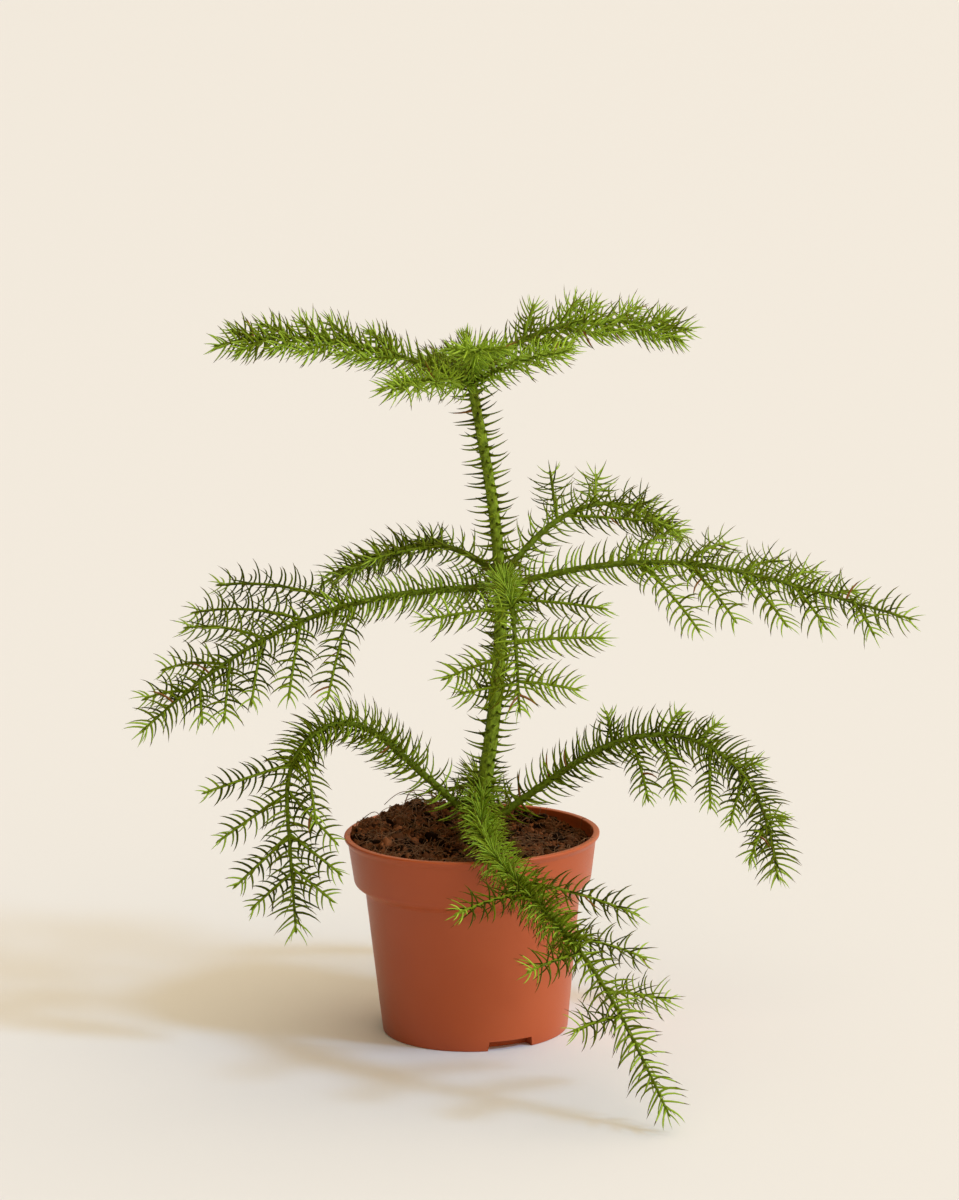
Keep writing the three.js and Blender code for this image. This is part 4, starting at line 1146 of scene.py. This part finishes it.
class PINE_OT_compost(bpy.types.Operator):
    """Fill the pot with a lumpy bed of compost, with clods, crumbs and fibres on it"""

    bl_idname = "pine.model_compost"
    bl_label = "Compost"

    GRID = 210
    EDGE_GAP = 0.4
    WALL_CLEARANCE = 1
    SIZE_CLEARANCE = 1.4
    HEART = 0.02
    SIZE_SPREAD = (1.2, 4.5)
    DENTS = (0.5, 1.3)
    STRETCH = (0.65, 1.3)
    STANDING = 0.6
    DRYNESS = (0, 0.4, 1.15)
    DRYNESS_ODDS = (0.5, 0.3, 0.2)
    DULL = 0.03
    FIBRE_STEPS = 12
    FIBRE_BEND = 1.5
    FIBRE_LIFT = 0.8
    FIBRE_ENDS = (0.05, 0.95)
    FINE_FIBRE = {"lengths": (3, 15), "arches": (0.2, 2.4), "radii": (0.08, 0.18)}
    ROOTLET = {"lengths": (12, 30), "arches": (3, 8), "radii": (0.14, 0.22)}
    ROOTLETS = 34
    BANK_SPAN = (-55, 35)
    BANK_REACH = (0.78, 0.93)

    def execute(self, context):
        settings = context.scene.pine_pot
        self.bed(settings)
        self.rough_balls("compost_clods", settings, CLOD_SEED, settings.clods, detail=2, smallest=1.2,
                         spread=3.6, sink=0.5)
        self.rough_balls("compost_crumbs", settings, CRUMB_SEED, settings.crumbs, detail=1, smallest=0.3,
                         spread=1.5, sink=0.1)
        self.fibres(settings)
        return {"FINISHED"}

    def bed(self, settings):
        deselect_all()
        bpy.ops.mesh.primitive_grid_add(x_subdivisions=self.GRID, y_subdivisions=self.GRID, size=2)
        bed = named(bpy.context.object, "compost_bed")
        flat = np.empty(3 * len(bed.data.vertices))
        bed.data.vertices.foreach_get("co", flat)
        square = flat.reshape(-1, 3)
        disc = square.copy()
        disc[:, 0] = square[:, 0] * np.sqrt(1 - square[:, 1] ** 2 / 2)
        disc[:, 1] = square[:, 1] * np.sqrt(1 - square[:, 0] ** 2 / 2)
        edge = RIM_RADIUS - LIP_WIDTH
        disc[:, 2] = soil_height(disc[:, 0] * edge, disc[:, 1] * edge)
        reach = inner_radius(disc[:, 2]) - self.EDGE_GAP
        disc[:, :2] *= reach[:, None]
        bed.data.vertices.foreach_set("co", (disc * MM).ravel())
        add_displace(bed, "clods", "CLOUDS", size=6 * MM, strength=6 * MM, axis="Z", noise_depth=2)
        add_displace(bed, "crumble", "VORONOI", size=2.6 * MM, strength=-2.8 * MM, axis="Z")
        add_displace(bed, "grit", "CLOUDS", size=0.7 * MM, strength=0.9 * MM, axis="Z", noise_depth=3)
        apply_modifiers(bed)
        self.close_bed(bed)
        bed.data.materials.append(compost_material(settings))
        bpy.ops.object.shade_smooth()
        place_piece(bed, "compost", "soil")

    def close_bed(self, bed):
        """Draw the bed's edge down the pot's inside wall and close it over the pot's floor."""
        select_only(bed)
        bpy.ops.object.mode_set(mode="EDIT")
        bpy.ops.mesh.select_mode(type="EDGE")
        bpy.ops.mesh.select_all(action="SELECT")
        bpy.ops.mesh.region_to_loop()
        for height in (LEDGE_Z, POT_FLOOR + self.EDGE_GAP):
            bpy.ops.mesh.extrude_region_move()
            self.level_selected(bed, height, inner_radius(height) - self.EDGE_GAP)
        bpy.ops.mesh.edge_face_add()
        bpy.ops.mesh.select_all(action="SELECT")
        bpy.ops.mesh.normals_make_consistent(inside=False)
        bpy.ops.object.mode_set(mode="OBJECT")

    def level_selected(self, bed, height, radius):
        shape = bmesh.from_edit_mesh(bed.data)
        for vertex in shape.verts:
            if vertex.select:
                out = Vector((vertex.co.x, vertex.co.y)).normalized() * radius * MM
                vertex.co = (out.x, out.y, height * MM)
        bmesh.update_edit_mesh(bed.data)

    def scatter(self, random, count, size):
        """Random places on the compost, clear of the pot's wall by a size, with their heights."""
        reach = RIM_RADIUS - LIP_WIDTH - self.WALL_CLEARANCE - self.SIZE_CLEARANCE * size
        radius = reach * np.sqrt(random.uniform(self.HEART, 1, count))
        angle = random.uniform(0, 2 * math.pi, count)
        x, y = radius * np.cos(angle), radius * np.sin(angle)
        return np.stack([x, y, soil_height(x, y)], axis=1)

    def rough_balls(self, name, settings, seed, count, detail, smallest, spread, sink):
        """Broken clods: copies of one ball, each with its own size, dents and stretch, partly sunk, in tints
        dealt one by one."""
        deselect_all()
        bpy.ops.mesh.primitive_ico_sphere_add(subdivisions=detail, radius=1)
        ball = bpy.context.object
        corners = np.array([v.co for v in ball.data.vertices])
        faces = np.array([list(p.vertices) for p in ball.data.polygons])
        bpy.data.objects.remove(ball)
        random = np.random.default_rng(seed)
        size = smallest + spread * random.beta(*self.SIZE_SPREAD, count)
        dents = random.uniform(*self.DENTS, (count, len(corners), 1))
        stretch = random.uniform(*self.STRETCH, (count, 1, 3))
        places = self.scatter(random, count, size)
        places[:, 2] += random.uniform(-sink, self.STANDING * (1 - sink), count) * size
        points = corners * dents * stretch * size[:, None, None] + places[:, None]
        triangles = (faces + len(corners) * np.arange(count)[:, None, None]).reshape(-1, 3)
        piece = mesh_from_arrays(name, points.reshape(-1, 3), triangles)
        damp, dry = np.array(settings.compost), np.array(settings.compost_dry)
        for i, dryness in enumerate(self.DRYNESS):
            tint = damp + (dry - damp) * dryness
            crumb = plain_material(f"crumb_{i}", tint, roughness=0.95, Specular_IOR_Level=self.DULL)
            piece.data.materials.append(crumb)
        dealt = random.choice(len(self.DRYNESS), count, p=self.DRYNESS_ODDS)
        piece.data.polygons.foreach_set("material_index", np.repeat(dealt, len(faces)).astype(np.int32))
        place_piece(piece, "compost")

    def fibres(self, settings):
        """Fine fibres that lie curled over the compost, and rootlets that arch over its bank."""
        random = np.random.default_rng(FIBRE_SEED)
        places = self.scatter(random, settings.fibres, 1)
        tubes = [self.curl(random, place, **self.FINE_FIBRE) for place in places]
        tubes += [self.curl(random, place, **self.ROOTLET) for place in self.bank_places(random)]
        piece = limb_tubes("compost_fibres", [tube for tube in tubes if tube], resolution=0)
        fibre = plain_material("compost_fibre", settings.fibre, roughness=0.8, Specular_IOR_Level=0.2)
        piece.data.materials.append(fibre)
        place_piece(piece, "compost")

    def bank_places(self, random):
        """Places on the high bank behind the trunk, by the pot's rim."""
        angle = (SOIL_BANK_HEADING + random.uniform(*self.BANK_SPAN, self.ROOTLETS)) * DEGREE
        radius = (RIM_RADIUS - LIP_WIDTH) * random.uniform(*self.BANK_REACH, self.ROOTLETS)
        x, y = radius * np.cos(angle), radius * np.sin(angle)
        return np.stack([x, y, soil_height(x, y)], axis=1)

    def curl(self, random, place, lengths, arches, radii):
        """One curled fibre from a place on the compost as points and radii, lifted over the rim where it
        crosses it, or None where it would hang outside the pot."""
        start, bend = random.uniform(0, 2 * math.pi), random.normal(0, self.FIBRE_BEND)
        turns = start + bend * np.linspace(0, 1, self.FIBRE_STEPS)
        stride = random.uniform(*lengths) / self.FIBRE_STEPS
        flat = place[:2] + np.cumsum(np.column_stack([np.cos(turns), np.sin(turns)]) * stride, axis=0)
        arch = random.uniform(*arches) * np.sin(math.pi * np.linspace(*self.FIBRE_ENDS, self.FIBRE_STEPS))
        radius = random.uniform(*radii)
        out = np.hypot(*flat.T)
        if out.max() > RIM_RADIUS:
            return None
        height = soil_height(*flat.T) + self.FIBRE_LIFT + arch
        over_rim = out > RIM_RADIUS - LIP_WIDTH - self.WALL_CLEARANCE
        height[over_rim] = np.maximum(height[over_rim], POT_HEIGHT + self.WALL_CLEARANCE)
        return np.column_stack([flat, height]), np.full(self.FIBRE_STEPS, radius)


def compost_material(settings):
    """Dark peaty compost, paler where its top has dried; its darkest tone is partly painted shade of the gaps
    between clods.
    """
    return mottled_material("peaty_compost", settings.compost, settings.compost_dry, cloud=4 * MM,
                            grain=0.5 * MM, contrast=3, rough=(0.85, 1.0), relief=0.8,
                            Specular_IOR_Level=PINE_OT_compost.DULL)


class PINE_OT_trunk(bpy.types.Operator):
    """Draw the trunk and its leading shoot, raise the bark's relief and grow their needles"""

    bl_idname = "pine.grow_trunk"
    bl_label = "Trunk"

    PITCH = 0.8
    TIP_LENGTH = 1

    def execute(self, context):
        settings = context.scene.pine_plant
        trunk, leader = grow_trunk()
        points, _ = even_tube(trunk, self.PITCH)
        radii = trunk_radius(points[:, 2])
        tip_points, tip_radii = even_tube(leader, self.PITCH, self.TIP_LENGTH)
        tube = (np.vstack([points, tip_points[1:]]), np.append(radii, tip_radii[1:]))
        bark = limb_tubes("trunk_bark", [tube], resolution=8)
        raise_bark(bark, settings, "young_bark", settings.bark_young)
        place_piece(bark, "green_bark", "trunk")
        place_piece(needles_piece("trunk_needles", [trunk], settings), "needles")
        place_piece(needles_piece("leader_needles", [leader], settings), "needles", "leader_tuft")
        return {"FINISHED"}


class PINE_OT_boughs(bpy.types.Operator):
    """Grow every bough with its bark, its twigs and their needles"""

    bl_idname = "pine.grow_boughs"
    bl_label = "Boughs"

    PITCH = 0.9
    TWIG_PITCH = 2.5
    TIP_LENGTH = 1.5

    def execute(self, context):
        settings = context.scene.pine_plant
        for index, bough in enumerate(BOUGHS):
            stem, twigs = grow_bough(bough, index)
            masses = [f"foliage_{bough.name}{end}" for end in bough.masses]
            tube = even_tube(stem, self.PITCH, self.TIP_LENGTH)
            bark = limb_tubes(f"limb_{bough.name}", [tube], resolution=4)
            raise_bark(bark, settings, "bough_bark", settings.bark_bough)
            place_piece(bark, "green_bark", f"bough_{bough.name}")
            tubes = [even_tube(twig, self.TWIG_PITCH, self.TIP_LENGTH) for twig in twigs]
            wood = limb_tubes(f"twigs_{bough.name}", tubes, resolution=1)
            green = plain_material("twig_green", settings.twig, roughness=0.5, Specular_IOR_Level=0.05)
            wood.data.materials.append(green)
            place_piece(wood, "green_bark", *masses)
            needles = needles_piece(f"needles_{bough.name}", [stem, *twigs], settings)
            place_piece(needles, "needles", *masses)
        return {"FINISHED"}


def raise_bark(bark, settings, name, green):
    """Give a limb the scaly relief of young bark, and its green, darker in the hollows."""
    add_displace(bark, "bark scales", "VORONOI", size=1.6 * MM, strength=-settings.bark_relief, middle=0.4)
    add_displace(bark, "bark grain", "CLOUDS", size=0.5 * MM, strength=settings.bark_relief / 3)
    apply_modifiers(bark)
    material = mottled_material(name, settings.bark_old, green, cloud=2.2 * MM, grain=0.4 * MM, contrast=2.4,
                                rough=(0.5, 0.75), relief=0.35, Specular_IOR_Level=0.05)
    bark.data.materials.append(material)


class PINE_PT_panel(bpy.types.Panel):
    """Buttons and settings for the potted pine"""

    bl_label = "Potted Pine"
    bl_idname = "PINE_PT_panel"
    bl_space_type = "VIEW_3D"
    bl_region_type = "UI"
    bl_category = "Pine"

    def draw(self, context):
        for operator in OPERATORS:
            self.layout.operator(operator.bl_idname)
        for group in SETTINGS:
            box = self.layout.box()
            for name in SETTINGS[group].__annotations__:
                box.prop(getattr(context.scene, group), name)


OPERATORS = (PINE_OT_stage, PINE_OT_pot, PINE_OT_compost, PINE_OT_trunk, PINE_OT_boughs)
SETTINGS = {"pine_pot": PinePotSettings, "pine_plant": PinePlantSettings, "pine_stage": PineStageSettings}


def register():
    for settings in SETTINGS.values():
        bpy.utils.register_class(settings)
    for name, settings in SETTINGS.items():
        setattr(bpy.types.Scene, name, bpy.props.PointerProperty(type=settings))
    for operator in OPERATORS:
        bpy.utils.register_class(operator)
    bpy.utils.register_class(PINE_PT_panel)


def unregister():
    bpy.utils.unregister_class(PINE_PT_panel)
    for operator in reversed(OPERATORS):
        bpy.utils.unregister_class(operator)
    for name, settings in SETTINGS.items():
        delattr(bpy.types.Scene, name)
        bpy.utils.unregister_class(settings)


def main():
    register()
    bpy.ops.pine.set_stage()
    bpy.ops.pine.model_pot()
    bpy.ops.pine.model_compost()
    bpy.ops.pine.grow_trunk()
    bpy.ops.pine.grow_boughs()


if __name__ == "__main__":
    main()
